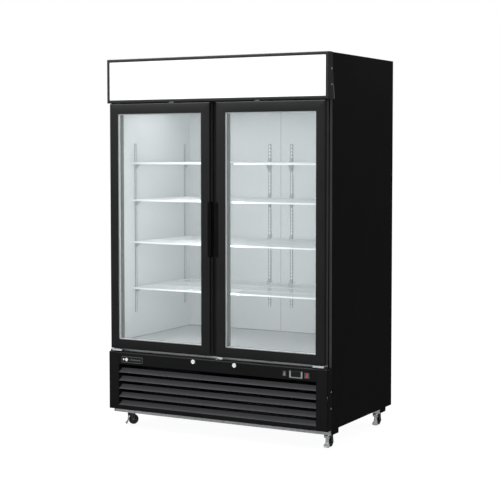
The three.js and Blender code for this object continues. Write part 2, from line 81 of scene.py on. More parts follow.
def rounded(points, radius, steps=4):
    """The outline with its corners rounded."""
    made = []
    count = len(points)
    for i, corner in enumerate(points):
        here = Vector(corner)
        before = Vector(points[i - 1]) - here
        after = Vector(points[(i + 1) % count]) - here
        half = before.angle(after) / 2
        reach = min(radius / math.tan(half), before.length * 0.48, after.length * 0.48)
        start = here + before.normalized() * reach
        end = here + after.normalized() * reach
        for k in range(steps + 1):
            t = k / steps
            point = start * (1 - t) ** 2 + here * 2 * t * (1 - t) + end * t**2
            made.append((point.x, point.y))
    return made


def rectangle(across, up, radius, steps=4):
    """The outline of a rectangle with rounded corners."""
    (a0, a1), (b0, b1) = across, up
    return rounded([(a0, b0), (a1, b0), (a1, b1), (a0, b1)], radius, steps)


def moved(points, a, b):
    """The outline or profile moved to a place."""
    return [(p + a, q + b) for p, q in points]


def run(edge, y, points):
    """Part of a bar's section: (inset, depth) points, counted from one edge and from a depth."""
    return [(edge, inset, y + depth) for inset, depth in points]


def disc(radius, low, high):
    """The profile of a plain cylinder, to be turned about its axis."""
    return [(0, low), (radius, low), (radius, high), (0, high)]


def mirrored(sign, near, far):
    """A span across the cabinet on one side of its middle, the low end first."""
    return sorted((sign * near, sign * far))


class Shape:
    """Closed bodies, in millimetres, that become one piece."""

    def __init__(self):
        self.bm = bmesh.new()

    def loft(self, rings, closed=False):
        """Skins equal rings of points, and caps the two ends unless the last ring meets the first."""
        made = [[self.bm.verts.new(point) for point in ring] for ring in rings]
        pairs = list(zip(made, made[1:]))
        if closed:
            pairs.append((made[-1], made[0]))
        for a, b in pairs:
            for i in range(len(a)):
                j = (i + 1) % len(a)
                self.bm.faces.new((a[i], a[j], b[j], b[i]))
        if not closed:
            self.bm.faces.new(made[0])
            self.bm.faces.new(made[-1])
        return self

    def prism(self, outline, axis, span):
        """Draws an outline out along an axis."""
        return self.loft([[place(axis, a, b, at) for a, b in outline] for at in span])

    def box(self, x, y, z):
        return self.prism([(x[0], y[0]), (x[1], y[0]), (x[1], y[1]), (x[0], y[1])], "z", z)

    def pair(self, near, far, y, z):
        """The same box on both sides of the cabinet, the left one first."""
        for sign in (-1, 1):
            self.box(mirrored(sign, near, far), y, z)
        return self

    def lathe(self, profile, axis, centre, segments=32):
        """Turns a profile of (radius, height) about an axis. Its ends may lie on the axis."""
        rings = []
        for radius, height in profile:
            radius = max(radius, 0.002)
            ring = []
            for k in range(segments):
                angle = 2 * math.pi * k / segments
                spot = place(axis, radius * math.cos(angle), radius * math.sin(angle), height)
                ring.append(Vector(spot) + Vector(centre))
            rings.append(ring)
        return self.loft(rings, closed=profile[0][0] > 0.01)

    def tube(self, points, radius, segments=8):
        """A round wire along a line of points."""
        points = [Vector(p) for p in points]
        rings = []
        side = None
        for i, point in enumerate(points):
            ahead = points[min(i + 1, len(points) - 1)] - point
            behind = point - points[max(i - 1, 0)]
            along = (ahead.normalized() + behind.normalized()).normalized()
            if side is None:
                side = along.orthogonal().normalized()
            side = (side - along * side.dot(along)).normalized()
            other = along.cross(side)
            ring = []
            for k in range(segments):
                angle = 2 * math.pi * k / segments
                ring.append(point + (side * math.cos(angle) + other * math.sin(angle)) * radius)
            rings.append(ring)
        return self.loft(rings)

    def hoop(self, path, section, axis):
        """Sweeps a section of (outwards, height) points round a closed path in the plane across the axis."""
        rings = []
        for i, spot in enumerate(path):
            ahead = Vector(path[(i + 1) % len(path)]) - Vector(path[i - 1])
            side = Vector((ahead.y, -ahead.x)).normalized()
            rings.append([place(axis, *(Vector(spot) + side * out), height) for out, height in section])
        return self.loft(rings, closed=True)

    def sheet(self, us, vs, holes, axis, depth):
        """A flat sheet on a grid, with the cells in holes left open."""
        made = {}
        cells = {(i, j) for i in range(len(us) - 1) for j in range(len(vs) - 1)} - set(holes)

        def corner(i, j, k):
            if (i, j, k) not in made:
                made[i, j, k] = self.bm.verts.new(place(axis, us[i], vs[j], depth[k]))
            return made[i, j, k]

        for i, j in cells:
            ring = [(i, j), (i + 1, j), (i + 1, j + 1), (i, j + 1)]
            for k in (0, 1):
                self.bm.faces.new([corner(a, b, k) for a, b in ring])
            for n, step in enumerate(((0, -1), (1, 0), (0, 1), (-1, 0))):
                if (i + step[0], j + step[1]) not in cells:
                    p, q = ring[n], ring[(n + 1) % 4]
                    self.bm.faces.new((corner(*p, 0), corner(*q, 0), corner(*q, 1), corner(*p, 1)))
        return self

    def bars(self, section, outer, inner, sides="BRTL", gap=0.12):
        """Mitred bars round a rectangle. Each point of the section is (edge, inset, y): 'o' counts inwards
        from the outer rectangle and 'i' outwards from the inner one."""
        lines = []
        for edge, inset, y in section:
            x0, x1, z0, z1 = outer if edge == "o" else inner
            grow = inset if edge == "o" else -inset
            lines.append((x0 + grow, x1 - grow, z0 + grow, z1 - grow, y))
        for side in sides:
            if side in "BT":
                level = 2 if side == "B" else 3
                ends = [[(line[0] + gap, line[4], line[level]) for line in lines],
                        [(line[1] - gap, line[4], line[level]) for line in lines]]
            else:
                level = 0 if side == "L" else 1
                ends = [[(line[level], line[4], line[2] + gap) for line in lines],
                        [(line[level], line[4], line[3] - gap) for line in lines]]
            self.loft(ends)
        return self

    def screw(self, centre, axis, out, radius=4.0):
        """A pan head with a socket, its flange on the centre point and facing out (+1 or -1)."""
        profile = [(0, -0.6), (radius, -0.6), (radius, 0.25), (radius * 0.86, 0.9), (radius * 0.6, 1.35),
                   (radius * 0.36, 1.45), (radius * 0.3, 0.7), (0, 0.5)]
        return self.lathe([(r, h * out) for r, h in profile], axis, centre, 16)

    def hex_bolt(self, centre, axis, out, radius=6.0, height=4.0):
        """A bolt head on a round washer."""
        washer = [(0, -0.5), (radius * 1.25, -0.5), (radius * 1.25, 1.0), (radius * 1.15, 1.2), (0, 1.2)]
        head = [(0, 1.0), (radius, 1.0), (radius, height), (radius * 0.86, height + 0.6), (0, height + 0.6)]
        self.lathe([(r, h * out) for r, h in washer], axis, centre, 24)
        return self.lathe([(r, h * out) for r, h in head], axis, centre, 6)

    def faces_out(self):
        bmesh.ops.recalc_face_normals(self.bm, faces=self.bm.faces)
        return self

    def less(self, tool):
        """The shape with the closed tool shape cut away."""
        holders = []
        for shape in (self, tool):
            mesh = bpy.data.meshes.new("work")
            shape.faces_out().bm.to_mesh(mesh)
            holder = bpy.data.objects.new("work", mesh)
            bpy.context.scene.collection.objects.link(holder)
            holders.append(holder)
        modifier = holders[0].modifiers.new("cut", "BOOLEAN")
        modifier.solver = "EXACT"
        modifier.object = holders[1]
        cut = holders[0].evaluated_get(bpy.context.evaluated_depsgraph_get())
        self.bm.clear()
        self.bm.from_mesh(cut.to_mesh())
        cut.to_mesh_clear()
        for holder in holders:
            mesh = holder.data
            bpy.data.objects.remove(holder)
            bpy.data.meshes.remove(mesh)
        return self


def add_bevel(thing, width, segments=2):
    modifier = thing.modifiers.new("bevel", "BEVEL")
    modifier.width = width * MM
    modifier.segments = segments
    modifier.limit_method = "ANGLE"
    modifier.angle_limit = SHARP
    modifier.harden_normals = True


def piece(name, shape, material, replaces=(), sign=1, body="cabinet", bevel=0.0, segments=2,
          at=(0, 0, 0), turn=0.0):
    """Makes the shape a visible piece that rides on a CAD body. A sign of -1 mirrors it to the left, and
    turn swings it about the vertical, in degrees, before it is moved to its place."""
    work = shape.faces_out().bm.copy()
    spin = Matrix.Rotation(math.radians(turn), 3, "Z")
    for vert in work.verts:
        vert.co = (spin @ Vector((vert.co.x * sign, vert.co.y, vert.co.z)) + Vector(at)) * MM
    bmesh.ops.recalc_face_normals(work, faces=work.faces)
    for face in work.faces:
        face.smooth = True
    if not bevel:
        for edge in work.edges:
            edge.smooth = len(edge.link_faces) == 2 and edge.calc_face_angle(0) < SHARP
    mesh = bpy.data.meshes.new(name)
    work.to_mesh(mesh)
    work.free()
    thing = bpy.data.objects.new(name, mesh)
    bpy.context.scene.collection.objects.link(thing)
    mesh.materials.append(material)
    if bevel:
        add_bevel(thing, bevel, segments)
    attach(thing, body)
    if replaces:
        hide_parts(*replaces)
    return thing


# ---- materials ----
def add_node(tree, kind, inputs=None, output=0, **settings):
    """Adds a shader node. An input is a value or another node's output, which is linked to it."""
    made = tree.nodes.new(kind)
    for key, value in settings.items():
        setattr(made, key, value)
    for key, value in (inputs or {}).items():
        if isinstance(value, bpy.types.NodeSocket):
            tree.links.new(value, made.inputs[key])
        else:
            made.inputs[key].default_value = value
    return made.outputs[output] if made.outputs else made


def grey(value, tint=(1, 1, 1)):
    return tuple(value * t for t in tint)


def cool(value):
    return grey(value, (0.97, 1.0, 1.02))


NOISE = (0.3, 0.7)  # where most of a noise's values lie
WAVE_SCALE = 0.314159  # a wave texture's scale for one ridge in each unit


class Finish:
    """A procedural material on one Principled shader, laid out over the object's own millimetres."""

    def __init__(self, name, **values):
        self.material = bpy.data.materials.new(name)
        self.material.use_nodes = True
        self.tree = self.material.node_tree
        self.shader = self.tree.nodes["Principled BSDF"]
        for key, value in values.items():
            self.shader.inputs[key.replace("_", " ")].default_value = value
        self.position = self.node("ShaderNodeTexCoord", output="Object")

    def node(self, kind, inputs=None, output=0, **settings):
        return add_node(self.tree, kind, inputs, output, **settings)

    def drive(self, name, value):
        """Links a value to one of the shader's inputs."""
        self.tree.links.new(value, self.shader.inputs[name])

    def noise(self, size, detail=2.0, stretch=None):
        """Soft noise whose features are about size millimetres."""
        where = self.position
        if stretch:
            where = self.node("ShaderNodeMapping", {"Vector": where, "Scale": stretch})
        inputs = {"Vector": where, "Scale": 1 / (size * MM), "Detail": detail}
        return self.node("ShaderNodeTexNoise", inputs, "Fac")

    def cells(self, size, output="Color"):
        """Cells about size millimetres across: a tone for each cell, or the distance from its middle."""
        made = self.node("ShaderNodeTexVoronoi", {"Vector": self.position, "Scale": 1 / (size * MM)}, output)
        if output == "Color":
            return self.node("ShaderNodeSeparateColor", {"Color": made}, "Red")
        return made

    def bands(self, pitch):
        """Straight ridges across X, pitch millimetres apart."""
        inputs = {"Vector": self.position, "Scale": WAVE_SCALE / (pitch * MM)}
        return self.node("ShaderNodeTexWave", inputs, "Fac", bands_direction="X")

    def span(self, value, low, high):
        """Maps the middle of a noise to a range."""
        return self.node("ShaderNodeMapRange", {
            "Value": value, "From Min": NOISE[0], "From Max": NOISE[1], "To Min": low, "To Max": high,
        })

    def blend(self, factor, a, b):
        """Maps the middle of a noise to the colours between two. A plain number is a grey."""
        ramp = self.tree.nodes.new("ShaderNodeValToRGB")
        for stop, position, colour in zip(ramp.color_ramp.elements, NOISE, (a, b)):
            stop.position = position
            shade = grey(colour) if isinstance(colour, float) else colour
            stop.color = (*shade, 1)
        self.tree.links.new(factor, ramp.inputs["Fac"])
        return ramp.outputs["Color"]

    def sum(self, a, b, weight=0.5):
        return self.node("ShaderNodeMix", {"Factor": weight, "A": a, "B": b}, "Result")

    def colour(self, factor, a, b):
        self.drive("Base Color", self.blend(factor, a, b))

    def roughness(self, factor, low, high):
        self.drive("Roughness", self.span(factor, low, high))

    def relief(self, height, strength, depth=0.1):
        inputs = {"Height": height, "Strength": strength, "Distance": depth * MM}
        self.drive("Normal", self.node("ShaderNodeBump", inputs, "Normal"))


def coat(name, dark, light, rough, grain=1.4, relief=0.12, patch=180, **values):
    """A sprayed or moulded surface: slow patches of tone, an orange-peel relief, and fine specks."""
    made = Finish(name, **values)
    slow = made.noise(patch, 3)
    fine = made.noise(grain, 2)
    specks = made.noise(grain * 0.35, 1)
    made.colour(made.sum(slow, specks, 0.35), dark, light)
    made.roughness(made.sum(slow, fine, 0.5), *rough)
    made.relief(made.sum(fine, specks, 0.3), relief)
    return made.material


def sheet_metal(name, dark, light, rough, stretch=None, patch=40, relief=0.05, metallic=0.5):
    """Bare metal: tone and gloss wander, with fine grain that may be drawn out along one axis."""
    made = Finish(name, Metallic=metallic)
    slow = made.noise(patch, 3)
    drawn = made.noise(0.8, 2, stretch)
    made.colour(made.sum(slow, drawn, 0.4), dark, light)
    made.roughness(made.sum(slow, drawn, 0.5), *rough)
    made.relief(drawn, relief, 0.05)
    return made.material


def spangled(name, dark, light):
    """Hot-dip zinc with its crystal flowers."""
    made = Finish(name, Metallic=0.35)
    flower = made.cells(9)
    fine = made.noise(1.5, 3)
    mixed = made.sum(flower, fine, 0.35)
    made.colour(mixed, grey(dark, (0.97, 1, 1.03)), grey(light, (0.98, 1, 1.02)))
    made.roughness(mixed, 0.34, 0.55)
    made.relief(mixed, 0.08, 0.1)
    return made.material


def foam(name):
    """Yellowed foam with open bubbles."""
    made = Finish(name)
    bubble = made.cells(3, "Distance")
    made.colour(made.noise(60, 3), (0.62, 0.50, 0.24), (0.74, 0.63, 0.36))
    made.roughness(bubble, 0.75, 0.95)
    made.relief(bubble, 0.5, 0.8)
    return made.material


def fins(name, dark, light, metallic=0.9, pitch=2.2):
    """Thin plates, edge on."""
    made = Finish(name, Metallic=metallic)
    plates = made.bands(pitch)
    worn = made.noise(30, 3)
    made.colour(made.sum(plates, worn, 0.3), dark, light)
    made.roughness(worn, 0.35, 0.6)
    made.relief(plates, 0.8, 0.6)
    return made.material


def lit_panel(name):
    """Opal acrylic over its lamps: a little weaker away from them."""
    made = Finish(name, Roughness=0.3, Coat_Weight=0.3)
    slow = made.noise(260, 1)
    fine = made.noise(0.9, 1)
    made.colour(slow, 0.3, 0.32)
    made.drive("Emission Color", made.blend(slow, 0.97, 1.0))
    seen, cast = 0.82, 3.4
    camera_ray = made.node("ShaderNodeLightPath", output="Is Camera Ray")
    strength = {0: camera_ray, 1: seen - cast, 2: cast}
    made.drive("Emission Strength", made.node("ShaderNodeMath", strength, operation="MULTIPLY_ADD"))
    made.roughness(fine, 0.25, 0.35)
    made.relief(fine, 0.02, 0.02)
    return made.material


def glass(name):
    """Clear glass with a trace of haze."""
    made = Finish(name, Alpha=0.055, IOR=1.5)
    smear = made.noise(120, 4)
    fine = made.noise(2.0, 2)
    made.colour(smear, (0.72, 0.80, 0.80), (0.78, 0.85, 0.84))
    made.roughness(smear, 0.02, 0.07)
    made.relief(fine, 0.01, 0.01)
    return made.material


def spacer_metal(name):
    """Anodised spacer with its two rows of breathing pinholes."""
    made = Finish(name, Metallic=0.35)
    holes = made.cells(2.4, "Distance")
    drawn = made.noise(1.0, 2)
    made.colour(made.sum(holes, drawn, 0.5), (0.42, 0.43, 0.43), (0.58, 0.6, 0.6))
    made.roughness(drawn, 0.35, 0.5)
    made.relief(holes, 0.2, 0.2)
    return made.material


POWDER = coat("powder_black", 0.0035, 0.0045, (0.38, 0.5), patch=240, Specular_IOR_Level=0.3)
SIDE = coat("side_black", 0.0055, 0.0065, (0.5, 0.6), patch=240, Specular_IOR_Level=0.06)
EDGE = coat("edge_grey", 0.03, 0.037, (0.4, 0.5), patch=120)
STRIP = coat("strip_grey", 0.055, 0.068, (0.4, 0.5), patch=120)
DOOR = coat("door_black", cool(0.0055), cool(0.0075), (0.4, 0.5), grain=0.9, relief=0.07)
HEADER = coat("header_black", grey(0.011, (1, 1, 1.06)), grey(0.015, (1, 1, 1.06)), (0.42, 0.52), relief=0.1)
PLASTIC = coat("moulded_black", 0.008, 0.012, (0.45, 0.6), grain=0.7, relief=0.15, patch=90)
PULL = coat("pull_black", 0.0014, 0.0024, (0.5, 0.65), grain=0.7, patch=60, Specular_IOR_Level=0.12)
FRAME = coat("frame_black", 0.02, 0.028, (0.5, 0.62), grain=0.8, patch=160)
# The louvre blades also glow faintly: painted light that evens out the shade each blade casts on the one
# below.
LOUVRE = coat("louvre_grey_painted_glow", grey(0.02, (1, 0.98, 1.08)), grey(0.026, (1, 0.98, 1.08)), (0.45, 0.55),
              Emission_Color=(0.029, 0.0284, 0.0315, 1), Emission_Strength=1.0)
LINER = coat("liner_white", cool(0.57), cool(0.61), (0.5, 0.6), grain=2.2, relief=0.025, patch=400)
PAN = coat("floor_pan", cool(0.34), cool(0.4), (0.38, 0.5), grain=1.6, relief=0.04, patch=200)
SEAM = coat("seam_grey", cool(0.2), cool(0.26), (0.5, 0.6), grain=0.8, patch=60)
TRIM = coat("trim_grey", cool(0.008), cool(0.013), (0.5, 0.6), grain=0.8, Specular_IOR_Level=0.1)
RUBBER = coat("gasket_black", 0.012, 0.02, (0.6, 0.75), grain=0.6, relief=0.2, patch=60)
COATED = coat("strip_white", cool(0.93), cool(0.96), (0.25, 0.35), grain=1.2, relief=0.08, patch=70)
WIRE = coat("wire_white", cool(0.74), cool(0.8), (0.3, 0.4), grain=1.2, relief=0.08, patch=70)
# A pale grey that paints the highlight lines in the gaps under and over the doors.
HIGHLIGHT_GREY = coat("painted_highlight_grey", cool(0.66), cool(0.74), (0.35, 0.5), grain=1.0, relief=0.06, patch=60)
RED = coat("rocker_red", (0.28, 0.04, 0.06), (0.34, 0.055, 0.08), (0.3, 0.4), grain=0.6, patch=12)
SWITCH_GREY = coat("switch_grey", cool(0.11), cool(0.15), (0.35, 0.5), grain=0.6, patch=12)
BEZEL_GREY = coat("bezel_grey", cool(0.2), cool(0.25), (0.35, 0.5), grain=0.7, patch=20)
SCREEN = coat("screen_dark", 0.008, 0.011, (0.08, 0.14), grain=0.8, relief=0.02, patch=30, Coat_Weight=0.8)
TYRE = coat("tyre_black", 0.012, 0.03, (0.5, 0.75), grain=1.0, relief=0.25, patch=14)
ENAMEL = coat("compressor_black", 0.01, 0.016, (0.22, 0.35), grain=2.5, relief=0.15, patch=60)
GALVANISED = spangled("galvanised", 0.39, 0.49)
# The roof's zinc is far darker than the back panel's: painted shade that holds its top face down under the
# strong light from above.
ROOF_ZINC_SHADED = spangled("roof_galvanised_painted_shade", 0.05, 0.075)
ZINC = sheet_metal("zinc_plate", cool(0.66), cool(0.86), (0.22, 0.36), (1, 6, 6), patch=14)
DULL_ZINC = sheet_metal("dull_zinc", cool(0.2), cool(0.36), (0.3, 0.5), patch=10, relief=0.12)
CHROME = sheet_metal("chrome", 0.86, 0.93, (0.1, 0.2), patch=20, relief=0.02, metallic=0.3)
STEEL_DARK = sheet_metal("dark_bolt", 0.02, 0.04, (0.3, 0.45), patch=6, relief=0.1)
FORK_STEEL = sheet_metal("fork_steel", 0.32, 0.62, (0.12, 0.24), patch=8, relief=0.1, metallic=1.0)
LEVER_STEEL = sheet_metal("lever_steel", 0.7, 0.9, (0.12, 0.24), patch=8, relief=0.1, metallic=0.7)
TRACK = sheet_metal("track_steel", cool(0.31), cool(0.39), (0.35, 0.5), patch=12, metallic=0.3)
CLIP_STEEL = sheet_metal("clip_steel", cool(0.28), cool(0.4), (0.3, 0.45), patch=8, relief=0.08)
FINS = fins("aluminium_fins", (0.36, 0.38, 0.39), (0.66, 0.68, 0.69))
BLACK_FINS = fins("black_fins", 0.0012, 0.003, 0.0)
FOAM = foam("polyurethane_foam")
LIT = lit_panel("opal_acrylic")
GLASS = glass("clear_glass")
SPACER = spacer_metal("spacer_aluminium")


def finish_cad(node, material, bevel=0.0, segments=2):
    """Gives a CAD node that stays its finish, and eases its edges."""
    thing = frame["nodes"][node]
    thing.data.materials.clear()
    thing.data.materials.append(material)
    for polygon in thing.data.polygons:
        polygon.use_smooth = True
    weld = thing.modifiers.new("weld", "WELD")
    weld.merge_threshold = 0.00002
    if bevel:
        flat = thing.modifiers.new("flat", "DECIMATE")
        flat.decimate_type = "DISSOLVE"
        flat.angle_limit = math.radians(0.5)
        add_bevel(thing, bevel, segments)


# ---- header ----
HEADER_X, HEADER_Y, HEADER_Z = cad("header_box")
FRONT = HEADER_Y[0]
BEZEL = 17
SHEET = 1.2
CAP_SCREW_Y = -391
CAP_SCREW_HEIGHTS = (2003, 1922)
CATCH_X = (-264, 272)
LAMP_HEIGHTS = (1910, 2025)
LAMP_LIGHTS = 40


def header():
    """The header box with its bezel, lit lens, catches and lamp, and a pale grey band along each end cap's
    slanted rear edge that is a painted highlight.
    """
    outer = (*HEADER_X, *HEADER_Z)
    inner = (HEADER_X[0] + BEZEL, HEADER_X[1] - BEZEL, HEADER_Z[0] + BEZEL, HEADER_Z[1] - BEZEL)
    corner = [("o", 3 - a, FRONT + 3 - b) for a, b in arc((0, 0), 3, 0, 90, 5)]
    lip = run("i", FRONT, [(1.6, 0), (0.4, 0.5), (0, 1.4), (0, 2.7), (8, 2.7), (8, 12)])
    section = [("o", 0, FRONT + 12), *corner, *lip]
    shell = Shape().bars(section, outer, inner)
    rear = FRONT + 50.7
    half = HEADER_X[1] - SHEET
    low, high = HEADER_Z
    for axis_z in ((low, low + SHEET), (high - SHEET, high)):
        shell.box((-half, half), (FRONT + 12, rear), axis_z)
    shell.box((-half, half), (rear - SHEET, rear), (low + SHEET, high - SHEET))
    cap = [(FRONT + 12, low), (HEADER_Y[1], low), (HEADER_Y[1] - 1, low + 8), (HEADER_Y[1] - 22, 2050),
           (HEADER_Y[1] - 22, high), (FRONT + 12, high)]
    for sign in (-1, 1):
        shell.prism(cap, "x", mirrored(sign, HEADER_X[1] - 0.3, half))
    piece("header_shell", shell, HEADER, ["header_box"], bevel=0.45)

    lens_x, lens_y, lens_z = cad("header_panel")
    lens = Shape().box(lens_x, lens_y, lens_z)
    piece("header_lens", lens, LIT, ["header_panel"], bevel=0.8, segments=3)

    screws = Shape()
    for sign in (-1, 1):
        for z in CAP_SCREW_HEIGHTS:
            screws.screw((sign * (HEADER_X[1] - 1.1), CAP_SCREW_Y, z), "x", sign, 5)
    piece("header_screws", screws, ZINC)
    # Pale grey bands along each end cap's slanted rear edge: painted highlights on that edge.
    highlights = Shape()
    rear_y = HEADER_Y[1]
    lip = [(rear_y - 11, 1925), (rear_y - 1.2, low + 8), (rear_y - 5.5, low + 2), (rear_y - 14.5, 1922)]
    for sign in (-1, 1):
        highlights.prism(lip, "x", mirrored(sign, HEADER_X[1] - 0.25, HEADER_X[1]))
    piece("header_cap_highlights", highlights, SWITCH_GREY)

    catches = Shape()
    for x in CATCH_X:
        outline = rounded([(x - 15, 1842.4), (x + 15, 1842.4), (x + 13, 1847.4), (x - 13, 1847.4)], 1.2)
        catches.prism(outline, "y", (FRONT + 0.15, FRONT + 9))
    piece("header_catches", catches, SWITCH_GREY, bevel=0.4)

    lamp = Shape()
    for z in LAMP_HEIGHTS:
        rail = rectangle((-396, -388), (z - 9, z + 9), 1.5)
        lamp.prism(rail, "x", (-640, 640))
        for k in range(LAMP_LIGHTS):
            x = -624 + k * 32
            lamp.box((x - 2.5, x + 2.5), (-398, -396.2), (z - 2.5, z + 2.5))
    piece("header_lamp", lamp, LINER)


# ---- doors ----
DOOR_X, DOOR_Y, DOOR_Z = cad("right_door_frame")
OUTER = (*DOOR_X, *DOOR_Z)
SIGHT = (DOOR_X[0] + 56.5, DOOR_X[1] - 54.5, DOOR_Z[0] + 54.5, DOOR_Z[1] - 57)
GLASS_X, GLASS_Y, GLASS_Z = cad("right_door_glass")
PULL_X, PULL_Y, PULL_Z = cad("right_door_handle")
PANE_BACK = GLASS_Y[1]
PANE = 4
REAR = FRONT + 40
NOTCH = DOOR_X[0] + 14
NOSE = 4
GROOVE = (FRONT + 7, FRONT + 21)
EDGE_IN = 3.5


def door_section():
    """The front half of a door bar: rounded nose, groove along the outer side, glazing lip."""
    inset = EDGE_IN + 0.1
    side = run("o", GROOVE[0], [(inset, 1), (EDGE_IN - 0.9, 0), (0.6, 0), (0, -0.6)])
    corner = [("o", NOSE - a, FRONT + NOSE - b) for a, b in arc((0, 0), NOSE, 0, 90, 6)]
    lip = run("i", FRONT, [(3.0, 0), (0.8, 0.4), (0, 1.7), (10.4, 1.7)])
    seat = run("i", PANE_BACK, [(10.4, 0.3), (9.0, 0.3)])
    return [("o", inset, REAR), *side, *corner, *lip, *seat, ("i", 9.0, REAR)]


def edge_section():
    """The paler strip round the rear of a door's outer side, with two fine ribs."""
    ribs = [(0, 9.5), (0.9, 8.8), (0.9, 6.6), (0, 5.9), (0, 0.8), (0.8, 0), (EDGE_IN, 0)]
    return run("o", REAR, [(EDGE_IN, 0), (0.8, 0), (0, -0.8)]) + run("o", GROOVE[1], ribs)


def dedupe(points):
    """The points without the ones that repeat the point before."""
    made = []
    for point in points:
        if not made or (Vector(point) - Vector(made[-1])).length > 0.01:
            made.append(point)
    return made


def door(side, sign):
    """A door: mitred bars, the strip round its outer side, glass with its spacer, gasket and pull."""
    body = f"{side}_door"
    bars = Shape().bars(door_section(), OUTER, SIGHT, "BRT")
    stile = [(OUTER[0] + t if edge == "o" else SIGHT[0] - t, y, t if edge == "o" else -1, edge)
             for edge, t, y in door_section()]
    notched = [(max(x, NOTCH), y) for x, y, _, _ in stile]
    bottom = [(x, y, OUTER[2] + t if edge == "o" else SIGHT[2] - (SIGHT[0] - x)) for x, y, t, edge in stile]
    top = [(x, y, OUTER[3] - t if edge == "o" else SIGHT[3] + (SIGHT[0] - x)) for x, y, t, edge in stile]
    full = [(x, y) for x, y, _, _ in stile]
    low, high = PULL_Z[0] - 0.3, PULL_Z[1] + 0.3
    bars.loft([[(x, y, z + 0.12) for x, y, z in bottom], [(x, y, low) for x, y in full]])
    bars.loft([[(x, y, low) for x, y in dedupe(notched)], [(x, y, high) for x, y in dedupe(notched)]])
    bars.loft([[(x, y, high) for x, y in full], [(x, y, z - 0.12) for x, y, z in top]])
    piece(f"{side}_door_bars", bars, DOOR, [f"{side}_door_frame"], sign, body)

    edges = Shape().bars(edge_section(), OUTER, SIGHT, "BRT")
    strip = [(OUTER[0] + inset, y) for _, inset, y in edge_section()]
    edges.prism(strip, "z", (OUTER[2] + EDGE_IN + 0.2, low))
    edges.prism(strip, "z", (high, OUTER[3] - EDGE_IN - 0.2))
    piece(f"{side}_door_edge", edges, EDGE, [f"{side}_door_frame"], sign, body)

    rear = DOOR_Y[1]
    ribs = [(0, 17), (0.8, 16.2), (0.8, 13.2), (0, 12.4), (0, 7), (0.8, 6.2), (0.8, 4), (0, 3.2)]
    trim = run("i", PANE_BACK, [(0, 0.3), (8.8, 0.3)]) + run("i", REAR, [(8.8, 0), (7, 0)])
    trim += run("i", rear, [(7, -1.4), (5.8, 0), (1.6, 0), (0, -1.6)]) + run("i", PANE_BACK, ribs)
    piece(f"{side}_door_trim", Shape().bars(trim, OUTER, SIGHT), TRIM,
          [f"{side}_door_frame"], sign, body)

    panes = Shape()
    for y in ((GLASS_Y[0], GLASS_Y[0] + PANE), (PANE_BACK - PANE, PANE_BACK)):
        panes.box(GLASS_X, y, GLASS_Z)
    piece(f"{side}_door_panes", panes, GLASS, [f"{side}_door_glass"], sign, body, bevel=0.4)
    rim = (*GLASS_X, *GLASS_Z)
    front, back = GLASS_Y[0] + PANE + 0.05, PANE_BACK - PANE - 0.05
    bar = run("o", front, [(1, 0), (14, 0), (15, 1)]) + run("o", back, [(15, -1), (14, 0), (1, 0)])
    piece(f"{side}_glass_spacer", Shape().bars(bar, rim, rim), SPACER,
          [f"{side}_door_glass"], sign, body)

    seal_x, (front, back), seal_z = cad("right_door_gasket")
    bulb = run("o", front, [(1.5, 0), (11.5, 0), (11.5, 2), (9, 3.4), (12, 5)])
    bulb += run("o", back, [(13, -1.5), (12, 0), (1, 0), (0, -1.5)])
    bulb += run("o", front, [(1, 5), (4, 3.4), (1.5, 2)])
    seat = (*seal_x, *seal_z)
    piece(f"{side}_gasket_bulb", Shape().bars(bulb, seat, seat), RUBBER,
          [f"{side}_door_gasket"], sign, body)
    pull(side, sign)


def pull(side, sign):
    """The recessed pull: a cup with rounded edges in plan, and a lip that stands out over the door gap."""
    x0, x1 = DOOR_X[0], PULL_X[1]
    y0, y1 = PULL_Y
    cup = [(PULL_X[0], y0 + 2.0), (x0 + 2, y0 + 1.0), (x0 + 2, y0), (x1, y0), (x1, y1), (x0, y1),
           (x0, y1 - 6), (x0 + 9, y1 - 6.5), (x0 + 9, y0 + 9.5), (x0 + 1, y0 + 7.5), (PULL_X[0], y0 + 6.0)]
    body = Shape().prism(rounded(cup, 1.6, 3), "z", (PULL_Z[0] + 6, PULL_Z[1] - 6))
    plug = rounded([(x0, y0 + 1), (x0 + 2, y0), (x1, y0), (x1, y1), (x0, y1)], 1.2, 3)
    for z in ((PULL_Z[0], PULL_Z[0] + 5.9), (PULL_Z[1] - 5.9, PULL_Z[1])):
        body.prism(plug, "z", z)
    piece(f"{side}_pull", body, PULL, [f"{side}_door_handle"], sign, f"{side}_door",
          bevel=0.5)


# ---- base cover ----
COVER_X, COVER_Y, COVER_Z = cad("base_grille")
POST_X, POST_Y, POST_Z = cad("right_base_post")
FACE = COVER_Y[0]
SKIN = 1.5
ROUND = 9
MOUTH = (136.5, 370.0)
BLADE = {"half": 622, "pitch": 46.6, "count": 5}
BLADE_SECTION = [(0.1, 0.5), (0.3, -0.5), (1.2, -1), (37, 20), (37, 20 + SKIN), (1.4, 1.4), (0.5, 1.2)]
NOTCHES = (601.5, 665.5, 435, 470)
NOTCH_DEPTH = (-384.8, -300)
POST_SCREW_HEIGHTS = (315, 228)
LOCK = (130, 419)  # how far from the middle, and how high
WINDOW = (467.6, 540.4, 383.6, 415.4)


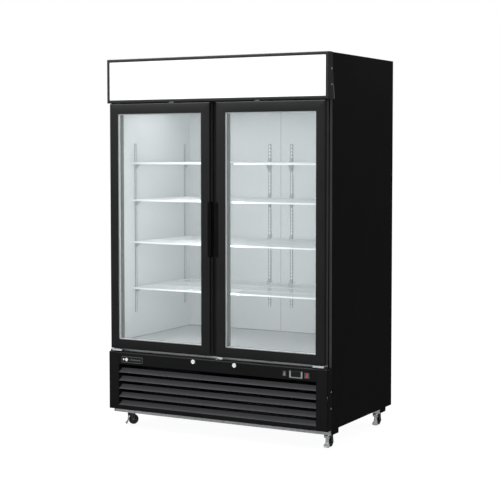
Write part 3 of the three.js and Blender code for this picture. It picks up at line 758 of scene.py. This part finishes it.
def cover_band():
    """The cover's upper band, rounded over its top and cut out for what is set into it."""
    high = COVER_Z[1]
    outer = arc((FACE + ROUND, high - ROUND), ROUND, 180, 90, 8)
    inner = arc((FACE + ROUND, high - ROUND), ROUND - SKIN, 90, 180, 8)
    section = [(FACE, MOUTH[1]), *outer, (COVER_Y[1], high), (COVER_Y[1], high - SKIN), *inner,
               (FACE + SKIN, MOUTH[1] + SKIN), (FACE + 9, MOUTH[1] + SKIN), (FACE + 9, MOUTH[1])]
    band = Shape().prism(section, "x", COVER_X)
    holes = Shape()
    through = (FACE - 3, FACE + 6)
    for sign in (-1, 1):
        holes.lathe(disc(10, *through), "y", (sign * LOCK[0], 0, LOCK[1]), 24)
        holes.box(mirrored(sign, *NOTCHES[:2]), NOTCH_DEPTH, NOTCHES[2:])
    for x0, x1, z0, z1 in (WINDOW, (423, 448, 385, 414), (555, 581, 384, 412)):
        holes.box((x0, x1), through, (z0, z1))
    return band.less(holes)


def base_cover():
    """The cover below the doors: its band, its sill with cheeks, and the louvre blades."""
    piece("cover_band", cover_band(), POWDER, ["base_grille"], bevel=0.35)
    low = COVER_Z[0]
    foot = [(FACE + 9, MOUTH[0]), (FACE, MOUTH[0]), (FACE, low), (COVER_Y[1], low), (COVER_Y[1], low + SKIN),
            (FACE + SKIN, low + SKIN), (FACE + SKIN, MOUTH[0] - SKIN), (FACE + 9, MOUTH[0] - SKIN)]
    sill = Shape().prism(foot, "x", COVER_X)
    sill.pair(BLADE["half"], COVER_X[1], (FACE, FACE + 39), (MOUTH[0] + 0.1, MOUTH[1] - 0.1))
    piece("cover_sill", sill, POWDER, ["base_grille"], bevel=0.35)

    blades = Shape()
    for i in range(BLADE["count"]):
        start = MOUTH[0] + i * BLADE["pitch"]
        blades.prism(moved(BLADE_SECTION, FACE, start), "x", (0.2 - BLADE["half"], BLADE["half"] - 0.2))
    piece("louvre_blades", blades, LOUVRE, ["base_grille"], bevel=0.2)


def base_post(side, sign):
    """A folded corner, rounded over its front top and outer edges, with the hinge's notch."""
    shell = Shape().box(POST_X, POST_Y, POST_Z)
    x1, y0, z1 = POST_X[1], POST_Y[0], POST_Z[1]

    def lies(edge, axis, value):
        return all(abs(v.co[axis] - value) < 0.01 for v in edge.verts)

    shell.faces_out()
    soft = [e for e in shell.bm.edges if (lies(e, 1, y0) and (lies(e, 2, z1) or lies(e, 0, x1)))
            or (lies(e, 0, x1) and lies(e, 2, z1))]
    bmesh.ops.bevel(shell.bm, geom=soft, offset=6, segments=6, affect="EDGES", profile=0.5)
    inside = (POST_Z[0] + SKIN, z1 - ROUND)
    hollow = Shape().box((POST_X[0] - 5, x1 - SKIN), (y0 + SKIN, POST_Y[1] + 5), inside)
    notch = Shape().box(NOTCHES[:2], NOTCH_DEPTH, NOTCHES[2:])
    shell.less(hollow).less(notch)
    piece(f"{side}_post_shell", shell, POWDER, [f"{side}_base_post"], sign, bevel=0.35)
    screws = Shape()
    for z in POST_SCREW_HEIGHTS:
        screws.screw((POST_X[1] - 0.9, -389, z), "x", 1, 4.2)
    piece(f"{side}_post_screws", screws, ZINC, sign=sign)


def lock(side, sign):
    """A lock's turning barrel with its keyway, flange and tongue."""
    lock_x, lock_y, _ = cad("right_lock")
    x, z = (lock_x[0] + lock_x[1]) / 2, LOCK[1]
    ring = [(7.6, 1.0), (8.4, 0.3), (9.6, 0), (11.2, 0.3), (12, 1.0), (12, 1.7), (7.6, 1.7)]
    plug = [(0, 0.5), (6.6, 0.5), (7.4, 1.0), (7.4, 30), (0, 30)]
    barrel = Shape().lathe(moved(plug, 0, lock_y[0]), "y", (x, 0, z), 32)
    keyway = Shape().box((x - 0.9, x + 0.9), (lock_y[0] - 1, lock_y[0] + 7), (z - 4.5, z + 4.5))
    barrel.less(keyway)
    barrel.lathe(moved(ring, 0, lock_y[0]), "y", (x, 0, z), 40)
    tongue = rectangle((x - 6, x + 6), (z - 9, z + 18), 4)
    barrel.prism(tongue, "y", (lock_y[1] - 4, lock_y[1] - 0.2))
    piece(f"{side}_lock_face", barrel, CHROME, [f"{side}_lock"], sign,
          f"{side}_lock_barrel")


ROCKER_TILT = math.radians(-6)
ROCKER_PIVOT = FRONT + 11.2
SWITCHES = {
    "light": ("light_switch", SWITCH_GREY, "black_plastic", 5, PLASTIC),
    "power": ("power_switch", RED, "red_plastic", 6, STRIP),
}


def rocker(name, node, material, slot, inset, rim):
    """A rocker with a dished face, in a framed housing."""
    (x0, x1), _, (z0, z1) = cad(node)
    middle = (z0 + z1) / 2
    half = 12
    dish = [(-9.9, -half), (-9.1, -half * 0.5), (-8.8, 0), (-9.1, half * 0.5), (-9.9, half), (6, half),
            (6, -half)]
    cos, sin = math.cos(ROCKER_TILT), math.sin(ROCKER_TILT)
    turned = [(ROCKER_PIVOT + y * cos - z * sin, middle + y * sin + z * cos) for y, z in dish]
    button = Shape().prism(turned, "x", (x0 + inset, x1 - inset))
    piece(f"{name}_rocker_button", button, material, [node], body=f"{name}_rocker", bevel=0.7,
          segments=3)
    outer = (x0 - 2.0, x1 + 2.0, z0 - 2.4, z1 + 2.4)
    hole = (x0 + inset - 0.5, x1 - inset + 0.5, z0 - 0.2, z1 + 0.2)
    ring = [("o", 0, FACE - 0.2), ("o", 0.5, FRONT + 0.9), ("i", 0.4, FRONT + 0.9), ("i", 0, FRONT + 1.3),
            ("i", 0, FACE - 0.2)]
    piece(f"{name}_housing", Shape().bars(ring, outer, hole, gap=0), rim)


def controls():
    """The temperature controller, and the two rockers beside it."""
    (x0, x1), (_, y1), (z0, z1) = cad("controller")
    case = Shape().box((x0 + 3, x1 - 3), (FACE + 0.3, y1), (z0 + 3, z1 - 3))
    plate = rectangle((x0 + 1, x1 - 1), (z0 + 1, z1), 2.5)
    case.prism(plate, "y", (FRONT + 1.2, FACE - 0.2))
    piece("controller_case", case, PLASTIC, ["controller"], bevel=0.4)
    u_shape = [(x0, z1), (x0, z0), (x1, z0), (x1, z1), (x1 - 9, z1), (x1 - 9, z0 + 5), (x0 + 9, z0 + 5),
               (x0 + 9, z1)]
    trim = Shape().prism(rounded(u_shape, 2.2), "y", (FRONT + 0.3, FRONT + 1.15))
    piece("controller_trim", trim, BEZEL_GREY, bevel=0.25)
    glass_plate = rectangle((x0 + 12, x1 - 12), (z0 + 8, z1 - 3), 1.5)
    piece("controller_screen", Shape().prism(glass_plate, "y", (FRONT + 0.75, FRONT + 1.15)), SCREEN,
          bevel=0.12)
    keys = Shape()
    for k in range(4):
        x = x0 + 21 + k * 12
        key = rectangle((x - 3, x + 3), (z0 + 2.4, z0 + 4.9), 0.9)
        keys.prism(key, "y", (FRONT + 0.1, FRONT + 0.5))
    piece("controller_keys", keys, SWITCH_GREY)
    for name, switch in SWITCHES.items():
        rocker(name, *switch)


def name_plate():
    """A plate with a raised rim and plain marks: a dot, a lozenge and a bar."""
    x0, x1, z0, z1 = -602, -460, 380, 417
    backing = rectangle((x0, x1), (z0, z1), 8, 6)
    piece("name_plate", Shape().prism(backing, "y", (FRONT + 1.0, FACE - 0.05)), SCREEN,
          bevel=0.3)
    inset = 2.2
    path = rectangle((x0 + inset, x1 - inset), (z0 + inset, z1 - inset), 6.5, 6)
    section = moved([(-0.7, 1.02), (-0.7, 0.7), (0.7, 0.7), (0.7, 1.02)], 0, FRONT)
    piece("plate_rim", Shape().hoop(path, section, "y"), SWITCH_GREY)
    middle = (z0 + z1) / 2
    dot = moved([(0, 0.5), (4.6, 0.5), (5.2, 0.8), (5.2, 1.05), (0, 1.05)], 0, FRONT)
    marks = Shape().lathe(dot, "y", (x0 + 14, 0, middle), 32)
    lozenge = moved([(22, 0), (33, 12), (44, 0), (33, -12)], x0, middle)
    marks.prism(rounded(lozenge, 2.5), "y", (FRONT + 0.5, FRONT + 1.05))
    piece("plate_marks", marks, CHROME)
    bar = rectangle((x0 + 58, x1 - 14), (middle - 3.5, middle + 3.5), 1.2)
    piece("plate_bar", Shape().prism(bar, "y", (FRONT + 0.7, FRONT + 1.05)), STRIP)


# ---- hinges and strike ----
HINGE_PLATE_UNDER = 451.4


def hinge_details(side, sign):
    """Two bolts under the hinge plate, and the dark stop beside it."""
    _, x1 = cad("right_lower_hinge")[0]
    bolts = Shape()
    for x in (x1 - 6, x1 - 29):
        bolts.hex_bolt((x, FRONT + 11.6, HINGE_PLATE_UNDER), "z", -1, 5.5, 9.2)
    piece(f"{side}_hinge_bolts", bolts, DULL_ZINC, sign=sign)
    stop = [(0, 440.6), (6.5, 440.6), (8, 441.8), (8, 450.2), (6.8, HINGE_PLATE_UNDER),
            (3, HINGE_PLATE_UNDER), (3, 453.4), (0, 453.4)]
    piece(f"{side}_hinge_stop", Shape().lathe(stop, "z", (x1 + 9.5, FRONT + 14, 0), 28), STEEL_DARK,
          sign=sign)


def strike():
    """The bracket between the doors that both of them close on, with its bolts."""
    plate = [(-386.4, 443), (-384.6, 443), (-384.6, 455.5), (FACE + 0.4, 455.5), (FACE - 0.4, 454.7),
             (FACE - 0.4, 446.4), (FACE + 1.2, 446.4), (FACE + 1.2, 453.9), (-386.4, 453.9)]
    made = Shape().prism(plate, "x", (27, 57))
    made.hex_bolt((40, FACE + 9, 453.8), "z", -1, 5, 11.5)
    made.hex_bolt((12, FACE + 14, 440.4), "z", 1, 3.2, 2.4)
    piece("door_strike", made, ZINC, bevel=0.2)
    # Painted highlights: the pale grey strips in the gaps under and over the doors stand for the light lines
    # along the base's top and the doors' top edges.
    sill = Shape().box((-600, 600), (-384.2, -381.4), (440.2, 451.5))
    piece("sill_highlight_strip", sill, HIGHLIGHT_GREY, bevel=0.5)
    head = Shape().pair(22, 672, (-384.2, -381.4), (1844.8, 1850.8))
    piece("door_head_highlight_strips", head, HIGHLIGHT_GREY, bevel=0.5)
    corners = Shape().pair(674.5, 688.2, (-381.75, -381.05), (441, 1843.5))
    piece("corner_strips", corners, STRIP, bevel=0.2)


# ---- inside ----
SHELVES = [cad(f"right_shelf_{i}") for i in (1, 2, 3, 4)]
CENTRE_TRACK = 73
CEILING = 1830


def shelf(side, sign, number):
    """Coated rods with close wires laid over them, bent down behind a label strip."""
    (x0, x1), (y0, y1), (z0, z1) = SHELVES[number - 1]
    rod, wire = 2.8, 1.5
    level = z1 - 2 * wire - rod
    shelf_shape = Shape()
    inset = rod + 1
    loop = rectangle((x0 + inset, x1 - inset), (y0 + 7, y1 - inset), 12, 5)
    shelf_shape.hoop(loop, arc((0, level), rod, 0, 315, 7), "z")
    for y in (y0 + 210, y0 + 430):
        shelf_shape.tube([(x0 + 4, y, level), (x1 - 4, y, level)], rod)
    count = 25
    for k in range(count):
        x = x0 + 12 + (x1 - x0 - 24) * k / (count - 1)
        shelf_shape.tube([(x, y1 - 1, z1 - wire), (x, y0 + 9, z1 - wire), (x, y0 + 5.6, z1 - wire - 0.8),
                          (x, y0 + 4.4, z1 - wire - 3.4), (x, y0 + 4.4, z1 - 8.6)], wire, 6)
    piece(f"{side}_shelf_{number}_wires", shelf_shape, WIRE, [f"{side}_shelf_{number}"],
          sign)
    strip = moved([(0.2, -9), (1.4, -9.8), (2.6, -9), (1.7, -7.6), (1.7, -3.2), (2.8, -2), (1.4, -1.2),
                   (0.2, -2.2)], y0, z1)
    piece(f"{side}_shelf_{number}_strip", Shape().prism(strip, "x", (x0 + 1, x1 - 1)), COATED,
          [f"{side}_shelf_{number}"], sign)


TRACK_HALF = 9
TRACK_DEPTH = 4.8
TRACK_STEEL = 1.2
SLOT_PITCH = 20.6
SLOT = (14.5, 3.6)  # its length and half width


def standard(shape, axis, along, wall, out, low, high):
    """A slotted steel channel on a wall. Along is where its middle is, out the way it faces."""
    vs = [low]
    holes = []
    for row in range(int((high - low) / SLOT_PITCH)):
        base = low + 3 + row * SLOT_PITCH
        vs += [base, base + SLOT[0]]
        holes.append((1, 2 * row + 1))
    vs.append(high)
    us = [along - TRACK_HALF, along - SLOT[1], along + SLOT[1], along + TRACK_HALF]
    under = wall + out * (TRACK_DEPTH - TRACK_STEEL)
    shape.sheet(us, vs, holes, axis, (under, wall + out * TRACK_DEPTH))
    for edge in (-TRACK_HALF, TRACK_HALF - TRACK_STEEL):
        flange = (along + edge, along + edge + TRACK_STEEL)
        depth = sorted((wall, under))
        if axis == "x":
            shape.box(depth, flange, (low, high))
        else:
            shape.box(flange, depth, (low, high))


SIDE_CLIP = ((13, 25, 0), (13, 25, -2.5), (6.5, 6, -24), (6.5, 4, -25.5))
CENTRE_CLIP = ((5, 4, 30), (6, 7, 28), (11, 13, 9), (13, 25, 0), (13, 25, -2.5), (6.5, 6, -45),
               (6.5, 4, -46.5))


def clip(shape, axis, along, wall, out, top, folds):
    """A folded shelf clip, from half widths, reaches and heights about the shelf it holds."""
    start = wall + out * 5
    rings = []
    for half, depth, rise in folds:
        z = top + rise
        ring = [(along - half, start), (along + half, start), (along + half, start + out * depth),
                (along - half, start + out * depth)]
        rings.append([(b, a, z) if axis == "x" else (a, b, z) for a, b in ring])
    shape.loft(rings)


LINER_X, LINER_Y, LINER_Z = cad("inner_liner")
WALL_BACK = LINER_Y[1] - 1
FLOOR_HALF = LINER_X[1] - 1
FLOOR = LINER_Z[0] + 1


def tracks():
    """Slotted tracks on the side and rear walls, with strips whiter than the liner behind their slots as
    painted light against the shade inside the slots, and the clips that hold the shelves.
    """
    (_, wall_x), _, (low, high) = cad("right_front_standard")
    slot_light_z = (low + 1, high - 1)
    depth_y = [sum(cad(f"right_{end}_standard")[1]) / 2 for end in ("front", "rear")]
    for side, sign in SIDES:
        # Strips whiter than the liner behind every slot: painted light against the shade inside the slots.
        slot_light_strips = Shape()
        clips = Shape()
        for end, y in zip(("front", "rear"), depth_y):
            track = Shape()
            standard(track, "x", y, wall_x, -1, low, high)
            piece(f"{side}_{end}_track", track, TRACK, [f"{side}_{end}_standard"], sign)
            slot_light_strips.box((wall_x - 2.4, wall_x - 1.8), (y - 7.6, y + 7.6), slot_light_z)
        centre = Shape()
        standard(centre, "y", CENTRE_TRACK, WALL_BACK, -1, low, high)
        piece(f"{side}_centre_track", centre, TRACK, sign=sign)
        across = (CENTRE_TRACK - 7.6, CENTRE_TRACK + 7.6)
        slot_light_strips.box(across, (WALL_BACK - 2.4, WALL_BACK - 1.8), slot_light_z)
        piece(f"{side}_track_slot_light_strips", slot_light_strips, COATED, sign=sign)
        for _, _, (_, shelf_top) in SHELVES:
            rest = shelf_top - 8.7
            for y in depth_y:
                clip(clips, "x", y, wall_x, -1, rest, SIDE_CLIP)
            clip(clips, "y", CENTRE_TRACK, WALL_BACK, -1, rest, CENTRE_CLIP)
        piece(f"{side}_shelf_clips", clips, CLIP_STEEL, sign=sign, bevel=0.6)


def liner_details():
    """The seam down the rear wall, the floor pan with its raised front lip, and the bead round it."""
    front = LINER_Y[0]
    seam = Shape().box((-1.3, 1.3), (WALL_BACK - 0.6, WALL_BACK - 0.02), (LINER_Z[0] + 2, CEILING - 1))
    piece("liner_seam", seam, SEAM, bevel=0.2)
    across = (-FLOOR_HALF + 1.5, FLOOR_HALF - 1.5)
    pan = Shape().box(across, (front + 3, WALL_BACK - 1.5), (FLOOR + 0.15, FLOOR + 1.1))
    lip = moved([(0.4, 0.1), (3.2, 0.1), (3.2, 2.6), (1.2, 3.6), (0.4, 2.8)], front, FLOOR)
    pan.prism(lip, "x", across)
    piece("cavity_floor_pan", pan, PAN, bevel=0.3)
    cove = [(-4.5, 1.2), (-0.3, 1.2), (-0.3, 5.5), (-1.5, 5.5), (-4.5, 2.6)]
    bead = Shape().prism(moved(cove, WALL_BACK, FLOOR), "x", (-FLOOR_HALF + 1, FLOOR_HALF - 1))
    bead.pair(FLOOR_HALF - 4, FLOOR_HALF - 0.3, (front + 5, WALL_BACK - 5), (FLOOR + 1.2, FLOOR + 4.5))
    piece("cavity_floor_sealant", bead, SEAM, bevel=0.4)


def machine_compartment():
    """Dark sheets that close the compartment: under the foam, at the rear slots, at the deck's corners."""
    roof = Shape().box((-685, 685), (-357.4, 430), (435.4, 436.6))
    piece("compartment_roof", roof, RUBBER, bevel=0.2)
    baffle = Shape().box((-560, 560), (405, 406.5), (125, 400))
    piece("rear_baffle", baffle, RUBBER, bevel=0.2)
    fillers = Shape()
    for depth in ((-290.2, -240.8), (349.8, 419.2)):
        fillers.pair(646.8, 683.5, depth, (108.8, 110.4))
    piece("deck_fillers", fillers, RUBBER, bevel=0.2)


# ---- castors ----
CASTOR_X = 631
CASTOR_Y = {"front": -294, "rear": 354}
SWIVELLED = {"front_left": -60}  # degrees that a castor stands turned
LEVER_PIN = (0, -12, 56)
AXLE = (0, 14, 28.5)


def both_ways(profile):
    """The profile followed by its own mirror image about height 0."""
    return profile + [(radius, -height) for radius, height in reversed(profile)]


def castor_shapes():
    """One castor about its own swivel axis, with the wheel behind it."""
    fork = Shape()
    fork.lathe([(0, 80.1), (13, 80.1), (23, 79.2), (24, 77.4), (23, 75.8), (19, 75), (19, 74.2), (24, 73.4),
                (24.6, 71.5), (23.4, 70), (0, 70)], "z", (0, 0, 0), 40)
    leg = rounded([(-20, 70), (21, 70), (25, 30), (20, 20.5), (8, 20.5), (3, 30), (-1, 50), (-18, 50)], 5, 4)
    for x in ((-17, -14.2), (14.2, 17)):
        fork.prism(leg, "x", x)
    fork.box((-17, 17), (-18, 18), (66.6, 69.8))
    fork.lathe(both_ways([(0, -20.5), (3.6, -20.5), (4, -20)]), "x", AXLE, 20)
    for out in (-1, 1):
        head = [(4.2, 17.05 * out), (7, 17.05 * out), (7, 20.4 * out), (6, 21 * out), (4.2, 21 * out)]
        fork.lathe(head, "x", AXLE, 6)
    fork.lathe(disc(3, -17.5, 17.5), "x", LEVER_PIN, 16)
    wheel = Shape()
    tread = [(4.3, -11), (10, -11), (10.6, -8.4), (17, -7.4), (20, -10), (24.5, -11), (27.2, -9.8),
             (28.3, -7), (28.5, -3.5)]
    wheel.lathe(both_ways(tread), "x", AXLE, 48)
    return fork, wheel, toe_lever()


def toe_lever():
    """The pressed toe lever: a knuckle on the fork's pin, a waisted arm, and a cupped rounded pad."""
    path = [(-16.5, 51, 9, 2.0), (-17.5, 42, 9, 2.0), (-18.5, 33, 9.5, 2.0), (-19.5, 25, 11, 2.4),
            (-21, 19, 13.5, 3.4), (-23.5, 14, 15.5, 4.6), (-26.5, 10.2, 16, 5.2), (-29.4, 7.4, 14.6, 4.6),
            (-31.4, 5.9, 10.5, 3.4), (-32.4, 5.2, 4.5, 2.0)]
    columns, cupping = 7, 1.8 / 15
    rings = []
    for i, (y, z, half, thick) in enumerate(path):
        before, after = path[max(i - 1, 0)], path[min(i + 1, len(path) - 1)]
        normal = Vector((after[1] - before[1], before[0] - after[0])).normalized()
        over, under = [], []
        for c in range(columns):
            t = -1 + 2 * c / (columns - 1)
            lift = cupping * t * t * half
            over.append((t * half, y + normal.x * (thick - lift), z + normal.y * (thick - lift)))
            under.append((t * half, y - normal.x * (thick + lift), z - normal.y * (thick + lift)))
        rings.append(over + under[::-1])
    pad = Shape().loft(rings)
    hole = Shape().lathe(disc(3.4, -20, 40), "z", (-6.5, -26.5, 0), 20)
    pad.less(hole)
    pad.lathe(both_ways([(3.2, -13.4), (6.4, -13.4), (7, -12.8)]), "x", LEVER_PIN, 24)
    return pad


def castors():
    """Four castors, and the bolts that hold them to the deck."""
    fork, wheel, brake = castor_shapes()
    bolts = Shape()
    for end, y in CASTOR_Y.items():
        for side, sign in SIDES:
            key = f"{end}_{side}"
            at = (sign * CASTOR_X, y, 0)
            turn = SWIVELLED.get(key, 0)
            piece(f"{key}_castor_fork", fork, FORK_STEEL, [f"{key}_fork"], 1, f"{key}_swivel",
                  bevel=0.3, at=at, turn=turn)
            piece(f"{key}_castor_wheel", wheel, TYRE, [f"{key}_wheel"], 1, f"{key}_roller",
                  at=at, turn=turn)
            piece(f"{key}_toe_lever", brake, LEVER_STEEL, [f"{key}_brake"], 1,
                  f"{key}_toe_brake", at=at, turn=turn)
            for dx in (-29, 29):
                for dy in (-29, 29):
                    bolts.hex_bolt((sign * CASTOR_X + dx, y + dy, 80.6), "z", -1, 5.2, 4)
    piece("castor_bolts", bolts, ZINC)


# ---- rear ----
def rear_details():
    """The screws round the rear panel, and a hood behind each of its breathing slots."""
    rear = cad("back_panel")[1][1]
    sides = [(x, 140 + 160 * k) for k in range(13) for x in (-676, 676)]
    ends = [(x, z) for x in (-450, -225, 0, 225, 450) for z in (128, 2076)]
    screws = Shape()
    for x, z in sides + ends:
        screws.screw((x, rear - 0.85, z), "y", 1, 4.0)
    piece("rear_screws", screws, DULL_ZINC)
    hoods = Shape()
    for row in range(7):
        low = 160 + row * 30
        for centre in (-330, 330):
            hood = moved([(-1.3, -2), (-1.3, -0.6), (-9, 12), (-10, 12)], rear, low)
            hoods.prism(hood, "x", (centre - 203, centre + 203))
    piece("rear_louvre_hoods", hoods, GALVANISED)


def kept_nodes():
    """The CAD nodes whose own shape is right."""
    plain = {
        "left_side_panel": (SIDE, 0.35), "right_side_panel": (SIDE, 0.35),
        "top_panel": (ROOF_ZINC_SHADED, 0.3), "back_panel": (GALVANISED, 0.3), "insulation": (FOAM, 1.5),
        "inner_liner": (LINER, 0.3), "front_frame": (FRAME, 0.8), "evaporator_cover": (LINER, 0.3),
        "evaporator_coil": (FINS, 0), "evaporator_fan": (PLASTIC, 0.3), "base_frame": (GALVANISED, 0.6),
        "compressor": (ENAMEL, 0), "condenser_coil": (BLACK_FINS, 0), "condenser_fan": (PLASTIC, 0.3),
    }
    for node, (material, bevel) in plain.items():
        finish_cad(node, material, bevel)
    for side, _ in SIDES:
        finish_cad(f"{side}_lower_hinge", ZINC, 0.5)
        finish_cad(f"{side}_upper_hinge", POWDER, 0.5)


# ---- stage, light and camera ----
def stage():
    """A pale floor that reflections do not see."""
    bm = bmesh.new()
    bmesh.ops.create_circle(bm, cap_ends=True, segments=64, radius=60)
    mesh = bpy.data.meshes.new("floor")
    bm.to_mesh(mesh)
    bm.free()
    floor = bpy.data.objects.new("floor", mesh)
    floor.location.z = -0.0005
    bpy.context.scene.collection.objects.link(floor)
    pale = coat("pale_floor", 0.11, 0.13, (0.7, 0.8), grain=3, relief=0.02, patch=2000,
                Emission_Color=(1, 1, 1, 1), Emission_Strength=0.92, Specular_IOR_Level=0.1)
    mesh.materials.append(pale)
    floor.visible_glossy = False


def softbox(name, where, aim, size, power, tint=(1, 1, 1)):
    """A soft rectangular light that the camera does not see."""
    data = bpy.data.lights.new(name, "AREA")
    data.shape = "RECTANGLE"
    data.size, data.size_y = size
    data.energy = power
    data.color = tint
    lamp = bpy.data.objects.new(name, data)
    lamp.location = where
    lamp.rotation_euler = (Vector(aim) - Vector(where)).to_track_quat("-Z", "Y").to_euler()
    lamp.visible_camera = False
    bpy.context.scene.collection.objects.link(lamp)


def world():
    """White for what is seen and for soft light. Reflections see a dimmer room, brighter above."""
    made = bpy.data.worlds.new("studio")
    bpy.context.scene.world = made
    made.use_nodes = True
    tree = made.node_tree
    tree.nodes.clear()
    direction = add_node(tree, "ShaderNodeTexCoord", output="Generated")
    facing = {0: direction, 1: (-0.3, -0.3, 0.9)}
    height = add_node(tree, "ShaderNodeVectorMath", facing, "Value", operation="DOT_PRODUCT")
    shade = add_node(tree, "ShaderNodeValToRGB", {"Fac": height}, "Color")
    stops = shade.node.color_ramp.elements
    stops[0].position, stops[0].color = 0.18, (0.045, 0.045, 0.048, 1)
    stops[1].position, stops[1].color = 1.0, (0.95, 0.97, 1.0, 1)
    stops.new(0.46).color = (0.165, 0.17, 0.175, 1)
    room = add_node(tree, "ShaderNodeBackground", {"Color": shade})
    white = add_node(tree, "ShaderNodeBackground", {"Color": (1, 1, 1, 1)})
    glossy_ray = add_node(tree, "ShaderNodeLightPath", output="Is Glossy Ray")
    seen = add_node(tree, "ShaderNodeMixShader", {0: glossy_ray, 1: white, 2: room})
    add_node(tree, "ShaderNodeOutputWorld", {0: seen})


def lights():
    """A large light above, two at the sides, and four small ones inside the cabinet."""
    softbox("overhead", (-0.8, -0.8, 4.6), (0, -0.2, 1.5), (3.0, 3.0), 210)
    softbox("front_left", (-3.6, -4.2, 4.6), (0, -0.4, 1.9), (1.6, 1.6), 70)
    softbox("back_right", (4.2, 3.2, 4.6), (0.6, -0.3, 1.7), (1.6, 1.6), 35)
    for sign, power in ((-1, 2.6), (1, 1.8)):
        softbox(f"bay_top_{sign}", (sign * 0.33, -0.1, 1.81), (sign * 0.33, -0.1, 0.6), (0.5, 0.4), 1.0,
                (0.96, 0.99, 1.0))
        softbox(f"bay_side_{sign}", (sign * 0.05, -0.33, 1.15), (sign * 0.6, 0.1, 1.1), (0.05, 1.2), power,
                (0.96, 0.99, 1.0))


def camera():
    """A long lens, a little to the right of the cabinet and below its middle."""
    data = bpy.data.cameras.new("camera")
    data.sensor_width = 36
    data.lens = 94.31
    data.shift_x = -0.0137
    data.shift_y = -0.05
    made = bpy.data.objects.new("camera", data)
    made.location = (3.5862, -6.5537, 1.5717)
    made.rotation_euler = (math.radians(90 - 3.190), 0, math.radians(28.438))
    bpy.context.scene.collection.objects.link(made)
    bpy.context.scene.camera = made
    bpy.context.scene.view_settings.view_transform = "Standard"


kept_nodes()
header()
base_cover()
controls()
name_plate()
strike()
tracks()
liner_details()
machine_compartment()
castors()
rear_details()
for side_name, side_sign in SIDES:
    door(side_name, side_sign)
    base_post(side_name, side_sign)
    lock(side_name, side_sign)
    hinge_details(side_name, side_sign)
    for shelf_number in (1, 2, 3, 4):
        shelf(side_name, side_sign, shelf_number)
stage()
world()
lights()
camera()
